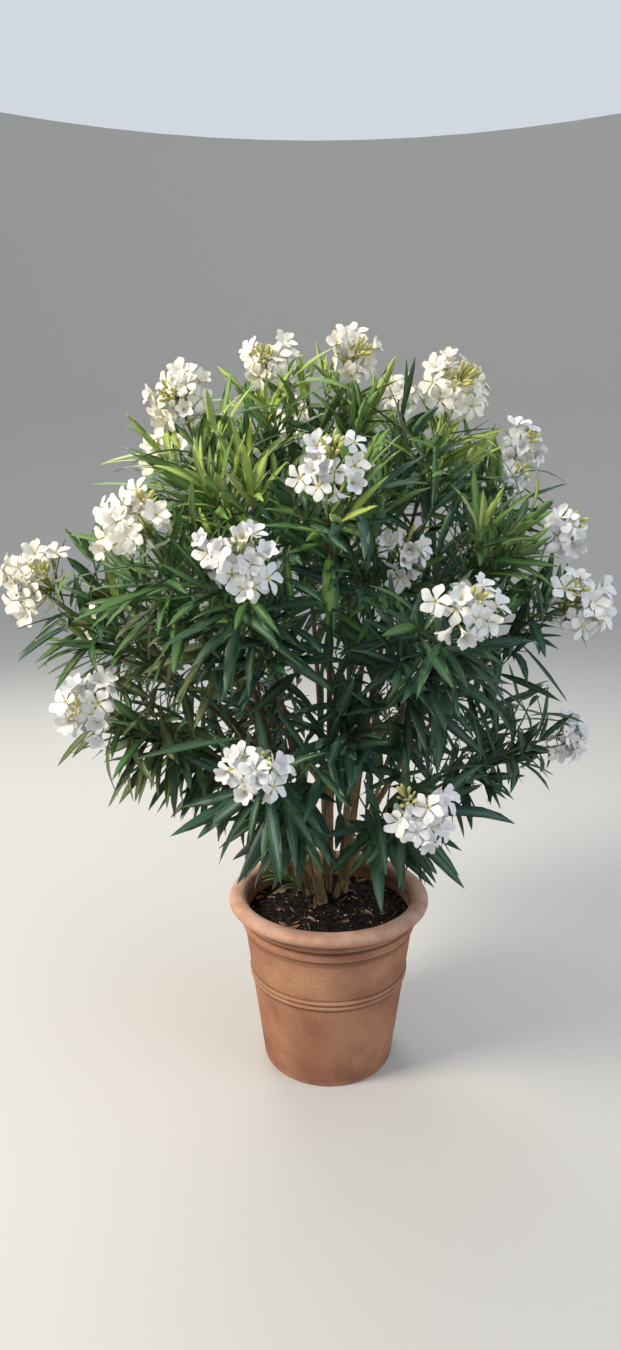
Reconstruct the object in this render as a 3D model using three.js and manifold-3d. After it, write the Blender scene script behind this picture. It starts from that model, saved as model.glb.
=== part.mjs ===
// A potted oleander: a white-flowered evergreen shrub of many canes in a round terracotta pot.
// Millimetres, +Z up. The origin is the middle of the flat underside of the pot, and -Y is the front.
// Each cane leans out of the compost, sheds coped boughs from its sides and ends in a mass of foliage.
// A mass is one stem with side twigs, whorls of lance-shaped leaves and, on most, a head of blossoms.
import * as THREE from "three";
import { mergeVertices } from "three/addons/utils/BufferGeometryUtils.js";
import Module from "manifold-3d";

const wasm = await Module();
wasm.setup();

// The pot, from its foot to its rolled lip.
const POT_HEIGHT = 405;
const FOOT_RADIUS = 151;
const SHOULDER_RADIUS = 194;
const SHOULDER_HEIGHT = 325;
const FOOT_CHAMFER = 4;
const BEADS_FOOT = 206;
const BEAD_RISE = 12;
const BEAD_DEPTH = 4;
const BAND_STEP = 6;
const BAND_RISE = 25;
const BAND_GROOVE = 3;
const LIP_OUTER_RADIUS = 230;
const LIP_INNER_RADIUS = 191;
const LIP_HEIGHT = 30;
const LIP_POINTS = 6;
const LIP_FIRST_ANGLE = -75;
const LIP_SWEEP = 255;
const THROAT_RADIUS = 187;
const THROAT_HEIGHT = 352;
const TAPER_TOP = 320;
const WALL = 14;
const FLOOR = 20;
const POT_SIDES = 28;
const DRAIN_RADIUS = 9;
const DRAIN_CIRCLE = 62;
const DRAINS = 3;
const DRAIN_SIDES = 10;

// The compost that fills it, level in the middle and a little lower at the wall.
const SOIL_TOP = 360;
const SOIL_EDGE_DROP = 6;
const SOIL_LEVEL_RADIUS = 120;

// Clearance between neighbouring solids that touch on the real plant.
const GAP = 0.3;

// Canes and boughs.
const CANE_SIDES = 8;
const BOUGH_SIDES = 6;
const RING_SPACING = 120;
const FLARE_REACH = 22;
const FLARE_SHARE = 0.4;
const FLARE_TOP = 33;
const TIP_RADIUS = 4.2;
const BOUGH_ROOT_RADIUS = 6.5;
const BOUGH_TAPER_SHARE = 0.7;
const WANDER = 16;
const CANE_RISE = 1.1;
const LEAVING_SHARE = 0.36;
const ARRIVING_SHARE = 0.34;

// Shoots: the stem of a mass and its side twigs.
const MASS_REACH = 430;
const LEAST_BOUGH = 0.3;
const TWIG_SIDES = 3;
const TWIG_RADIUS = 3.2;
const TWIG_LENGTH = 150;
const TWIG_ANGLE = 45;
const TWIG_LIFT = 0.35;
const TWIGS_AT = [0.3, 0.52];
const TWIG_BARE = 0.3;
const TWIG_LAST_WHORL = 0.98;
const WHORL_SPACING = 92;
const LEAVES_PER_WHORL = 3;

// Two pruned stubs low on the canes.
const STUB_LENGTH = 62;
const STUB_RADIUS = 8;

// A leaf, and how it stands: the youngest whorl hugs the shoot and the oldest hangs.
// Leaves are fewer and larger than on the real plant. One that doesn't fit is tried at the next size.
const LEAF_LENGTH = 195;
const LEAF_WIDTH = 48;
const LEAF_THICKNESS = 2.4;
const LEAF_FOLD = 3;
const LEAF_ARCH = 0.06;
const LEAF_WIDEST = 0.48;
const LEAF_SIZES = [1, 0.8, 0.62, 0.5];
const LEAST_SIZE = 0.82;
const LEAF_NECK = 0.3;
const BLADE_SHARE = 0.8;
const YOUNG_ANGLE = 26;
const BELOW_HEAD_ANGLE = 50;
const OLD_ANGLE = 84;
const OLD_HANG = 0.55;
const LONE_AGE = 0.4;
const ANGLE_SPREAD = 20;
const TURN_SPREAD = 0.1;
const ROOT_SINK = 0.8;
const ROOT_STEP = 6;

// A head of blossoms: five-cornered cups standing out of a small core of buds and stalks.
const HEAD_CORE_RADIUS = 26;
const BLOSSOM_RADIUS = 26;
const BLOSSOM_STAND = 42;
const BLOSSOM_DEPTH = 28;
const BLOSSOM_DISH = 5;
const PETALS = 5;
const RING_ANGLE = 62;
const BLOSSOMS = 5;
const HEAD_CLEARANCE = 52;
const HEAD_TURN_SPREAD = 0.2;

// Space kept between one mass and the next, past its head, and between foliage and limbs.
const CROWN_RADIUS = 655;
const LEAF_MARGIN = 21;
const MASS_MARGIN = 2.5;
const HEAD_CAP = 35;
const LEAFY_CAP = 110;
const LIMB_MARGIN = 3;
const POT_MARGIN = 12;
const STRETCH = 40;
const SAMPLES = 6;

// How steeply a shoot stands: low shoots lie out, high shoots stand up.
const LOW_HEAD = 750;
const HIGH_HEAD = 1550;
const LOW_TILT = 12;
const HIGH_TILT = 75;

// Where each kind of random draw starts, so that no two are alike.
const CANE_SEED = 1;
const BOUGH_SEED = 20;
const MASS_SEED = 1;
const TWIG_SEED = 200;
const ANGLE_STEP = 50;
const SIZE_STEP = 100;
const HEAD_STEP = 300;
const BLOSSOM_STEP = 310;

// Each cane: its foot in the compost, its radius there, and the mass that ends it.
const CANES = [
  { name: "left", foot: [-42, 50], radius: 10, leader: "left_upper" },
  { name: "left_tall", foot: [-28, 84], radius: 10, leader: "top_left" },
  { name: "centre", foot: [2, 70], radius: 10, leader: "top_middle" },
  { name: "right", foot: [17, 40], radius: 10, leader: "far_right" },
  { name: "right_tall", foot: [40, 66], radius: 10, leader: "top_right" },
  { name: "back_left", foot: [-66, 78], radius: 10, leader: "left_back" },
  { name: "back", foot: [-2, 108], radius: 10, leader: "back_top_left" },
  { name: "back_right", foot: [32, 102], radius: 10, leader: "back_top" },
  { name: "front", foot: [-18, 22], radius: 13, leader: "low_front_left" },
];

// Each mass and where its head is. A mass that isn't a leader has a bough, which leaves that cane
// at that share of the cane's length. A leafy one has no blossoms.
const MASSES = [
  { name: "left_upper", head: [-343, -350, 1241] },
  { name: "far_left", head: [-590, -150, 1124], cane: "left", fork: 0.62 },
  { name: "low_left", head: [-473, -200, 886], cane: "left", fork: 0.42 },
  { name: "low_left_leafy", head: [-318, -60, 760], cane: "back_left", fork: 0.22, leafy: true },
  { name: "top_left", head: [-292, -150, 1473] },
  { name: "top_middle_left", head: [-135, 0, 1563], cane: "left_tall", fork: 0.78 },
  { name: "front_left", head: [-169, -420, 1177], cane: "left_tall", fork: 0.4 },
  { name: "young_left", head: [-219, -250, 1346], cane: "left_tall", fork: 0.62, leafy: true },
  { name: "top_middle", head: [49, 50, 1589] },
  { name: "front_upper", head: [-11, -350, 1330], cane: "centre", fork: 0.55 },
  { name: "inner", head: [137, -200, 1183], cane: "centre", fork: 0.36 },
  { name: "low_middle", head: [40, -330, 880], cane: "centre", fork: 0.16, leafy: true },
  { name: "far_right", head: [500, -130, 1135] },
  { name: "front_right", head: [213, -420, 1096], cane: "right", fork: 0.34 },
  { name: "low_right", head: [548, 50, 763], cane: "right", fork: 0.2 },
  { name: "right_leafy", head: [370, -150, 1254], cane: "right_tall", fork: 0.5, leafy: true },
  { name: "top_right", head: [247, -50, 1503] },
  { name: "upper_right", head: [450, 200, 1422], cane: "right_tall", fork: 0.66 },
  { name: "left_back", head: [-393, 200, 1397] },
  { name: "left_low_back", head: [-554, 150, 1007], cane: "back_left", fork: 0.45 },
  { name: "back_left", head: [-260, 450, 1150], cane: "back_left", fork: 0.6 },
  { name: "back_top_left", head: [-77, 300, 1483] },
  { name: "back", head: [60, 520, 1230], cane: "back", fork: 0.6 },
  { name: "back_low_left", head: [-230, 430, 780], cane: "back", fork: 0.3, leafy: true },
  { name: "back_top", head: [169, 250, 1531] },
  { name: "back_right", head: [380, 420, 1110], cane: "back_right", fork: 0.5 },
  { name: "back_low_right", head: [270, 430, 770], cane: "back_right", fork: 0.28 },
  { name: "low_front_left", head: [-139, -420, 814] },
  { name: "low_front_right", head: [155, -380, 719], cane: "right", fork: 0.1 },
];

// The pruned stubs: the cane each stands on, how far up it, and which way it points.
const STUBS = [
  { cane: "front", at: 0.11, towards: [-0.62, 0.1, 0.78] },
  { cane: "centre", at: 0.045, towards: [0.13, -0.35, 0.93] },
];

const COLOURS = {
  terracotta: new THREE.MeshStandardMaterial({ color: 0xc07a57, roughness: 0.85, metalness: 0 }),
  compost: new THREE.MeshStandardMaterial({ color: 0x2e221b, roughness: 0.95, metalness: 0 }),
  bark: new THREE.MeshStandardMaterial({ color: 0x7a5f47, roughness: 0.8, metalness: 0 }),
  leaf: new THREE.MeshStandardMaterial({ color: 0x2f5a34, roughness: 0.5, metalness: 0 }),
};

const DEGREE = Math.PI / 180;
const UP = new THREE.Vector3(0, 0, 1);
const vector = (list) => new THREE.Vector3(...list);

// A draw from 0 to 1 that is the same each time for the same seed and step.
function draw(seed, step) {
  const wave = Math.sin(seed * 127.1 + step * 311.7) * 43758.5453;
  return wave - Math.floor(wave);
}

// The solid of a closed three.js geometry.
function solidOf(geometry) {
  const bare = new THREE.BufferGeometry();
  bare.setAttribute("position", geometry.getAttribute("position"));
  bare.setIndex(geometry.getIndex());
  const merged = mergeVertices(bare, 1e-3);
  return new wasm.Manifold(
    new wasm.Mesh({
      numProp: 3,
      vertProperties: new Float32Array(merged.attributes.position.array),
      triVerts: new Uint32Array(merged.index.array),
    }),
  );
}

// A closed geometry from its corner points and its faces.
function geometryOf(points, faces) {
  const geometry = new THREE.BufferGeometry().setFromPoints(points);
  geometry.setIndex(faces.flat());
  return geometry;
}

// The named mesh of a solid. Scraps that fusing left loose and cavities that it sealed are dropped.
function meshOf(solid, name, material) {
  const whole = solid.decompose().sort((a, b) => b.volume() - a.volume())[0];
  const data = whole.getMesh();
  const geometry = new THREE.BufferGeometry();
  geometry.setAttribute("position", new THREE.BufferAttribute(data.vertProperties, 3));
  geometry.setIndex(new THREE.BufferAttribute(data.triVerts, 1));
  const mesh = new THREE.Mesh(geometry, material);
  mesh.name = name;
  return mesh;
}

// A profile of radius and height, turned round the Z axis.
function turned(profile, sides) {
  const points = profile.map(([radius, height]) => new THREE.Vector2(radius, height));
  return solidOf(new THREE.LatheGeometry(points, sides).rotateX(Math.PI / 2));
}

// The pot's body tapers evenly from its shoulder to its foot.
function bodyRadius(height) {
  return FOOT_RADIUS + ((SHOULDER_RADIUS - FOOT_RADIUS) * height) / SHOULDER_HEIGHT;
}

// The inside of the pot from below the lip to the floor. The compost keeps an inset from it.
function insideProfile(inset) {
  return [
    [THROAT_RADIUS - inset, THROAT_HEIGHT],
    [bodyRadius(SHOULDER_HEIGHT) - WALL - inset, TAPER_TOP],
    [bodyRadius(FLOOR) - WALL - inset, FLOOR + inset],
  ];
}

function makePot() {
  const beads = [0, 1, 2, 3, 4].map((step) => {
    const height = BEADS_FOOT + (step * BEAD_RISE) / 2;
    return [bodyRadius(height) + (step % 2 ? BEAD_DEPTH : 0), height];
  });
  const bands = [0, 1].flatMap((band) => {
    const foot = SHOULDER_HEIGHT + band * BAND_RISE;
    const face = SHOULDER_RADIUS + BAND_STEP + band * BAND_GROOVE;
    return [
      [face - BAND_STEP, foot],
      [face, foot + BAND_GROOVE],
      [face, foot + BAND_RISE - BAND_GROOVE],
    ];
  });
  const lipMiddle = (LIP_OUTER_RADIUS + LIP_INNER_RADIUS) / 2;
  const lip = Array.from({ length: LIP_POINTS }, (_, step) => {
    const turn = (LIP_FIRST_ANGLE + (LIP_SWEEP * step) / (LIP_POINTS - 1)) * DEGREE;
    return [
      lipMiddle + ((LIP_OUTER_RADIUS - LIP_INNER_RADIUS) / 2) * Math.cos(turn),
      POT_HEIGHT - LIP_HEIGHT / 2 + (LIP_HEIGHT / 2) * Math.sin(turn),
    ];
  });
  const outside = [
    [0, 0],
    [FOOT_RADIUS - FOOT_CHAMFER, 0],
    [FOOT_RADIUS, FOOT_CHAMFER],
  ];
  const profile = [...outside, ...beads, ...bands, ...lip, ...insideProfile(0), [0, FLOOR]];
  let pot = turned(profile, POT_SIDES);
  for (let drain = 0; drain < DRAINS; drain++) {
    const turn = (drain / DRAINS) * 2 * Math.PI;
    const plug = new THREE.CylinderGeometry(DRAIN_RADIUS, DRAIN_RADIUS, FLOOR * 3, DRAIN_SIDES);
    plug.rotateX(Math.PI / 2);
    plug.translate(DRAIN_CIRCLE * Math.cos(turn), DRAIN_CIRCLE * Math.sin(turn), 0);
    pot = pot.subtract(solidOf(plug));
  }
  return meshOf(pot, "pot", COLOURS.terracotta);
}

function makeSoil() {
  const profile = [
    [0, FLOOR + GAP],
    ...insideProfile(GAP).reverse(),
    [THROAT_RADIUS - GAP, SOIL_TOP - SOIL_EDGE_DROP],
    [SOIL_LEVEL_RADIUS, SOIL_TOP],
    [0, SOIL_TOP],
  ];
  return meshOf(turned(profile, POT_SIDES), "compost", COLOURS.compost);
}

// How a shoot with its head there stands: outwards from the middle of the plant, and steeper
// the higher it is.
function headDirection(head) {
  const share = THREE.MathUtils.clamp((head.z - LOW_HEAD) / (HIGH_HEAD - LOW_HEAD), 0, 1);
  const tilt = (LOW_TILT + (HIGH_TILT - LOW_TILT) * share) * DEGREE;
  const out = new THREE.Vector3(head.x, head.y, 0).normalize();
  return out.multiplyScalar(Math.cos(tilt)).addScaledVector(UP, Math.sin(tilt));
}

// The line of a limb from its root to its head. It sets off along "away" and arrives the way
// the head stands.
function limbCurve(root, away, head, seed) {
  const span = root.distanceTo(head);
  const wander = (step) => (draw(seed, step) - 0.5) * WANDER;
  const first = root.clone().addScaledVector(away, span * LEAVING_SHARE);
  const second = head.clone().addScaledVector(headDirection(head), -span * ARRIVING_SHARE);
  first.add(new THREE.Vector3(wander(1), wander(2), 0));
  return new THREE.CubicBezierCurve3(root, first, second, head);
}

// Shares of a curve from one to another, about "spacing" apart.
function evenShares(curve, from, to, spacing) {
  const steps = Math.max(1, Math.round((curve.getLength() * (to - from)) / spacing));
  const shareAt = (_, step) => Math.min(to, from + ((to - from) * step) / steps);
  return Array.from({ length: steps + 1 }, shareAt);
}

// A direction that stands off another at an angle, turned about it.
function offset(tangent, angle, turn) {
  const side = UP.clone().cross(tangent).normalize();
  const across = tangent.clone().cross(side);
  const out = side.multiplyScalar(Math.cos(turn)).addScaledVector(across, Math.sin(turn));
  return tangent.clone().multiplyScalar(Math.cos(angle)).addScaledVector(out, Math.sin(angle));
}

// A tapering limb with a ring of corners at each share of its curve and flat ends square to it.
// Where "ground" is given, the foot is a level cut at that height.
function limb(curve, shares, radiusAt, sides, ground) {
  const points = [];
  const side = new THREE.Vector3(0, 1, 0);
  shares.forEach((share, step) => {
    const tangent = curve.getTangentAt(share);
    side.addScaledVector(tangent, -side.dot(tangent)).normalize();
    const across = tangent.clone().cross(side);
    for (let corner = 0; corner < sides; corner++) {
      const turn = (corner / sides) * 2 * Math.PI;
      const point = curve.getPointAt(share).addScaledVector(side, radiusAt(share) * Math.cos(turn));
      point.addScaledVector(across, radiusAt(share) * Math.sin(turn));
      if (step === 0 && ground !== undefined) {
        point.addScaledVector(tangent, (ground - point.z) / tangent.z);
      }
      points.push(point);
    }
  });
  const faces = [];
  const last = (shares.length - 1) * sides;
  for (let ring = 0; ring < last; ring += sides) {
    for (let corner = 0; corner < sides; corner++) {
      const a = ring + corner;
      const b = ring + ((corner + 1) % sides);
      faces.push([a, b, b + sides], [a, b + sides, a + sides]);
    }
  }
  for (let corner = 1; corner < sides - 1; corner++) {
    faces.push([0, corner + 1, corner], [last, last + corner, last + corner + 1]);
  }
  return solidOf(geometryOf(points, faces));
}

// A cane's line: "end" is the share of it where its own mass begins.
function caneLine(cane, index, head) {
  const foot = new THREE.Vector3(cane.foot[0], cane.foot[1], SOIL_TOP + GAP);
  const away = head.clone().sub(foot).normalize().addScaledVector(UP, CANE_RISE).normalize();
  const curve = limbCurve(foot, away, head, index + CANE_SEED);
  const length = curve.getLength();
  const end = 1 - MASS_REACH / length;
  const radiusAt = (share) => {
    const flare = 1 + FLARE_SHARE * Math.exp((-share * length) / FLARE_REACH);
    return (cane.radius + (TIP_RADIUS - cane.radius) * Math.min(1, share / end)) * flare;
  };
  return { name: "cane_" + cane.name, curve, end, radiusAt, sides: CANE_SIDES, ground: SOIL_TOP + GAP };
}

// A bough's line, which starts on the axis of its cane.
function boughLine(mass, index, parent) {
  const at = mass.fork * parent.end;
  const root = parent.curve.getPointAt(at);
  const head = vector(mass.head);
  const away = head.clone().sub(root).normalize().add(parent.curve.getTangentAt(at)).normalize();
  const curve = limbCurve(root, away, head, index + BOUGH_SEED);
  const end = Math.max(LEAST_BOUGH, 1 - MASS_REACH / curve.getLength());
  const rootRadius = Math.min(BOUGH_ROOT_RADIUS, parent.radiusAt(at) * BOUGH_TAPER_SHARE);
  const radiusAt = (share) => rootRadius + (TIP_RADIUS - rootRadius) * Math.min(1, share / end);
  return { name: "bough_" + mass.name, curve, end, radiusAt, sides: BOUGH_SIDES, parent };
}

// The line of every cane and bough, by the name of the mass at its end.
function growLimbs() {
  const lines = new Map();
  const byCane = new Map();
  CANES.forEach((cane, index) => {
    const leader = MASSES.find((mass) => mass.name === cane.leader);
    const line = caneLine(cane, index, vector(leader.head));
    lines.set(cane.leader, line);
    byCane.set(cane.name, line);
  });
  const boughs = MASSES.filter((mass) => mass.cane);
  boughs.forEach((mass, index) => lines.set(mass.name, boughLine(mass, index, byCane.get(mass.cane))));
  for (const stub of STUBS) {
    const line = byCane.get(stub.cane);
    const root = line.curve.getPointAt(stub.at);
    const tip = root.clone().addScaledVector(vector(stub.towards).normalize(), STUB_LENGTH);
    line.stub = new THREE.LineCurve3(root, tip);
  }
  return lines;
}

// A limb's own solid. A bough is coped to the side of its cane, and a pruned stub is fused to its own.
function limbSolid(line) {
  const body = ({ curve, end, radiusAt, sides, ground }, extra) => {
    const shares = evenShares(curve, 0, end, RING_SPACING);
    if (ground) shares.splice(1, 0, FLARE_TOP / curve.getLength());
    return limb(curve, shares, (share) => radiusAt(share) + extra, sides, ground);
  };
  let solid = body(line, 0);
  if (line.parent) solid = solid.subtract(body(line.parent, GAP));
  if (line.stub) solid = solid.add(limb(line.stub, [0, 1], () => STUB_RADIUS, BOUGH_SIDES));
  return solid;
}

// A curve as short straight stretches with a radius, for keeping foliage off it.
function stretches(curve, from, to, radiusAt, owner) {
  const shares = evenShares(curve, from, to, STRETCH);
  return shares.slice(1).map((share, step) => ({
    line: new THREE.Line3(curve.getPointAt(shares[step]), curve.getPointAt(share)),
    radius: radiusAt(shares[step]),
    owner,
  }));
}

const near = new THREE.Vector3();
const distanceTo = (line, point) => line.closestPointToPoint(point, true, near).distanceTo(point);

// The shortest distance between the stretch from a to b and a straight line, by sampling the first.
function distanceBetween(a, b, line) {
  let least = Infinity;
  for (let step = 0; step <= SAMPLES; step++) {
    least = Math.min(least, distanceTo(line, a.clone().lerp(b, step / SAMPLES)));
  }
  return least;
}

// What one mass may use. "holds" tells whether a point is in its own space: nearer to its stem
// than to any other mass's, not too far past its head, and off the pot.
// "clears" tells whether a stretch meets no limb.
function siteOf(mass, obstacles) {
  const facing = headDirection(vector(mass.head));
  const end = vector(mass.head).addScaledVector(facing, mass.leafy ? LEAFY_CAP : HEAD_CAP);
  const cap = new THREE.Plane().setFromNormalAndCoplanarPoint(facing, end);
  const own = obstacles.filter(({ owner }) => owner === mass.name);
  const others = obstacles.filter(({ owner }) => owner && owner !== mass.name);
  const limbs = obstacles.filter(({ owner }) => owner !== mass.name);
  const nearest = (point) => Math.min(...own.map(({ line }) => distanceTo(line, point)));
  return {
    pieces: [],
    midribs: [],
    holds: (point) => {
      const reach = nearest(point) + MASS_MARGIN;
      const width = Math.hypot(point.x, point.y);
      return (
        cap.distanceToPoint(point) < 0 &&
        width < CROWN_RADIUS &&
        (point.z > POT_HEIGHT + POT_MARGIN || width > LIP_OUTER_RADIUS + POT_MARGIN) &&
        others.every(({ line }) => distanceTo(line, point) > reach)
      );
    },
    clears: (a, b, reach) => {
      const room = reach + LIMB_MARGIN;
      return limbs.every(({ line, radius }) => distanceBetween(a, b, line) > radius + room);
    },
  };
}

// The corners of a leaf: root, tip, both edges, and the top and underside of the midrib where
// it is widest.
function leafCorners(root, along, above, size) {
  const across = along.clone().cross(above);
  const length = LEAF_LENGTH * size;
  const middle = root.clone().addScaledVector(along, length * LEAF_WIDEST);
  middle.addScaledVector(above, length * LEAF_ARCH);
  const edge = middle.clone().addScaledVector(above, LEAF_FOLD);
  return [
    root.clone().addScaledVector(along, -ROOT_SINK),
    root.clone().addScaledVector(along, length),
    edge.clone().addScaledVector(across, (LEAF_WIDTH * size) / 2),
    edge.clone().addScaledVector(across, (-LEAF_WIDTH * size) / 2),
    middle.clone().addScaledVector(above, LEAF_THICKNESS / 2),
    middle.clone().addScaledVector(above, -LEAF_THICKNESS / 2),
  ];
}

const LEAF_FACES = [
  [0, 2, 4],
  [0, 4, 3],
  [1, 4, 2],
  [1, 3, 4],
  [0, 5, 2],
  [0, 3, 5],
  [1, 2, 5],
  [1, 5, 3],
];

// Adds a leaf where the site has room for it, and tells whether it had.
function addLeaf(site, root, along, tangent, size) {
  const above = tangent.clone().addScaledVector(along, -tangent.dot(along)).normalize();
  const corners = leafCorners(root, along, above, size);
  const [, tip, edge, , top] = corners;
  const neck = root.clone().lerp(top, LEAF_NECK);
  const halfWidth = edge.distanceTo(top) * BLADE_SHARE;
  const between = [neck.clone().lerp(top, 0.5), top.clone().lerp(tip, 0.5)];
  const fits =
    [...corners, ...between].every(site.holds) &&
    site.clears(neck, top, halfWidth) &&
    site.clears(top, tip, halfWidth) &&
    site.midribs.every((midrib) => distanceBetween(neck, tip, midrib) > LEAF_MARGIN);
  if (!fits) return false;
  site.pieces.push(solidOf(geometryOf(corners, LEAF_FACES)));
  site.midribs.push(new THREE.Line3(neck, tip));
  return true;
}

// Whorls of leaves at shares of a shoot, from its oldest to its youngest.
function addWhorls(site, curve, shares, seed, youngest) {
  shares.forEach((share, whorl) => {
    const age = shares.length > 1 ? 1 - whorl / (shares.length - 1) : LONE_AGE;
    const open = youngest + (OLD_ANGLE - youngest) * age;
    const tangent = curve.getTangentAt(share);
    for (let leaf = 0; leaf < LEAVES_PER_WHORL; leaf++) {
      const step = whorl * LEAVES_PER_WHORL + leaf;
      const root = curve.getPointAt(share - (leaf * ROOT_STEP) / curve.getLength());
      const part = (leaf + whorl / 2) / LEAVES_PER_WHORL;
      const turn = (part + draw(seed, step) * TURN_SPREAD) * 2 * Math.PI;
      const angle = open + (draw(seed, step + ANGLE_STEP) - 0.5) * ANGLE_SPREAD;
      const along = offset(tangent, angle * DEGREE, turn);
      along.addScaledVector(UP, -OLD_HANG * age).normalize();
      const size = LEAST_SIZE + (1 - LEAST_SIZE) * draw(seed, step + SIZE_STEP);
      LEAF_SIZES.some((smaller) => addLeaf(site, root, along, tangent, size * smaller));
    }
  });
}

// A straight side twig with its own whorls, where the site has room for it.
function addTwig(site, curve, share, seed, twig) {
  const root = curve.getPointAt(share);
  const turn = (draw(seed, 1) * 0.3 + twig * 0.5) * 2 * Math.PI;
  const away = offset(curve.getTangentAt(share), TWIG_ANGLE * DEGREE, turn);
  away.addScaledVector(UP, TWIG_LIFT).normalize();
  const line = new THREE.LineCurve3(root, root.clone().addScaledVector(away, TWIG_LENGTH));
  const fits = [0.5, 1].every((at) => site.holds(line.getPointAt(at)));
  if (!fits || !site.clears(line.getPointAt(0.25), line.v2, TWIG_RADIUS)) return;
  site.pieces.push(limb(line, [0, 1], () => TWIG_RADIUS, TWIG_SIDES));
  const whorls = evenShares(line, TWIG_BARE, TWIG_LAST_WHORL, WHORL_SPACING);
  addWhorls(site, line, whorls, seed, YOUNG_ANGLE);
}

// A blossom as a five-cornered cup, dished at its throat, whose stalk end is sunk into the head.
function blossomCorners(middle, facing, spin) {
  const side = UP.clone().cross(facing).normalize();
  const across = facing.clone().cross(side);
  const rim = Array.from({ length: PETALS }, (_, step) => {
    const turn = spin + (step / PETALS) * 2 * Math.PI;
    const point = middle.clone().addScaledVector(side, BLOSSOM_RADIUS * Math.cos(turn));
    return point.addScaledVector(across, BLOSSOM_RADIUS * Math.sin(turn));
  });
  const throat = middle.clone().addScaledVector(facing, -BLOSSOM_DISH);
  const stalk = middle.clone().addScaledVector(facing, -BLOSSOM_DEPTH);
  return [...rim, throat, stalk];
}

const BLOSSOM_FACES = Array.from({ length: PETALS }, (_, step) => {
  const next = (step + 1) % PETALS;
  return [
    [step, next, PETALS],
    [next, step, PETALS + 1],
  ];
}).flat();

// The head at the tip of a shoot: a core with a ring of blossoms round it.
function addHead(site, head, facing, index) {
  const core = new THREE.OctahedronGeometry(HEAD_CORE_RADIUS, 0).translate(head.x, head.y, head.z);
  site.pieces.push(solidOf(core));
  for (let blossom = 0; blossom < BLOSSOMS; blossom++) {
    const turn = (blossom / BLOSSOMS + draw(index, HEAD_STEP) * HEAD_TURN_SPREAD) * 2 * Math.PI;
    const towards = offset(facing, RING_ANGLE * DEGREE, turn);
    const middle = head.clone().addScaledVector(towards, BLOSSOM_STAND);
    const spin = draw(index, BLOSSOM_STEP + blossom) * Math.PI;
    const corners = blossomCorners(middle, towards, spin);
    site.pieces.push(solidOf(geometryOf(corners, BLOSSOM_FACES)));
  }
}

// One mass of foliage, which starts a gap beyond the tip of its limb.
function makeMass(mass, index, line, site) {
  const { curve, end } = line;
  const length = curve.getLength();
  const start = end + GAP / length;
  const top = mass.leafy ? 1 : 1 - HEAD_CLEARANCE / length;
  const whorls = evenShares(curve, start, top, WHORL_SPACING).slice(1);
  const taper = (TWIG_RADIUS - TIP_RADIUS) / (1 - end);
  const radiusAt = (share) => TIP_RADIUS + taper * (share - end);
  const rings = mass.leafy ? [start, ...whorls] : [start, ...whorls, 1];
  site.pieces.push(limb(curve, rings, radiusAt, TWIG_SIDES));
  addWhorls(site, curve, whorls, index + MASS_SEED, mass.leafy ? YOUNG_ANGLE : BELOW_HEAD_ANGLE);
  TWIGS_AT.forEach((share, twig) => {
    addTwig(site, curve, start + (1 - start) * share, TWIG_SEED + index * TWIGS_AT.length + twig, twig);
  });
  if (!mass.leafy) addHead(site, curve.getPointAt(1), curve.getTangentAt(1), index);
  return meshOf(wasm.Manifold.union(site.pieces), "foliage_" + mass.name, COLOURS.leaf);
}

function makePlant() {
  const plant = new THREE.Group();
  const lines = growLimbs();
  const obstacles = [];
  for (const [name, { curve, end, radiusAt }] of lines) {
    obstacles.push(...stretches(curve, 0, end, radiusAt));
    obstacles.push(...stretches(curve, end, 1, () => TIP_RADIUS, name));
  }
  for (const line of lines.values()) {
    plant.add(meshOf(limbSolid(line), line.name, COLOURS.bark));
  }
  MASSES.forEach((mass, index) => {
    plant.add(makeMass(mass, index, lines.get(mass.name), siteOf(mass, obstacles)));
  });
  return plant;
}

const pottedOleander = new THREE.Group();
pottedOleander.name = "potted_oleander";
pottedOleander.add(makePot(), makeSoil(), makePlant());

export default pottedOleander;
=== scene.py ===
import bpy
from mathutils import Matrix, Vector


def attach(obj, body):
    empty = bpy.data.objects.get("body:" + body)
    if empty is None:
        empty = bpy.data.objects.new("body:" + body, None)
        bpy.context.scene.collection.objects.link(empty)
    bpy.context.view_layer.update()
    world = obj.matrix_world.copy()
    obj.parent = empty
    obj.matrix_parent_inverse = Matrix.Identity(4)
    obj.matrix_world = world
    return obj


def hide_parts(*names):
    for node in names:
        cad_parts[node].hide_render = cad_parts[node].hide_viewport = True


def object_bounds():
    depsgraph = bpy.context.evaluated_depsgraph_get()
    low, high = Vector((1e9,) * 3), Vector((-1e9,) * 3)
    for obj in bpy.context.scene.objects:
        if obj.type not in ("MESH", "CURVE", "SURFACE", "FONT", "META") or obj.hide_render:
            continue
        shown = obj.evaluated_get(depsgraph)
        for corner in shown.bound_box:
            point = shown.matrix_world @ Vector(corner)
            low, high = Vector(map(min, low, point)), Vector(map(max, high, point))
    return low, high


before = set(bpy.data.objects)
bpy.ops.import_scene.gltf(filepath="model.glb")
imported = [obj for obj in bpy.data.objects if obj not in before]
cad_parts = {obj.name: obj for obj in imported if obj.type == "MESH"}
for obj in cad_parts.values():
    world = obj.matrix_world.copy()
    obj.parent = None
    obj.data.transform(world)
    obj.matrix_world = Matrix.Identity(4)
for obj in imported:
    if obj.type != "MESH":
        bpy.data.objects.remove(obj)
cad_box = [list(corner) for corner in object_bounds()]

import math

import bmesh
import bpy
import numpy as np
from mathutils import Matrix, Quaternion, Vector, noise

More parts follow.
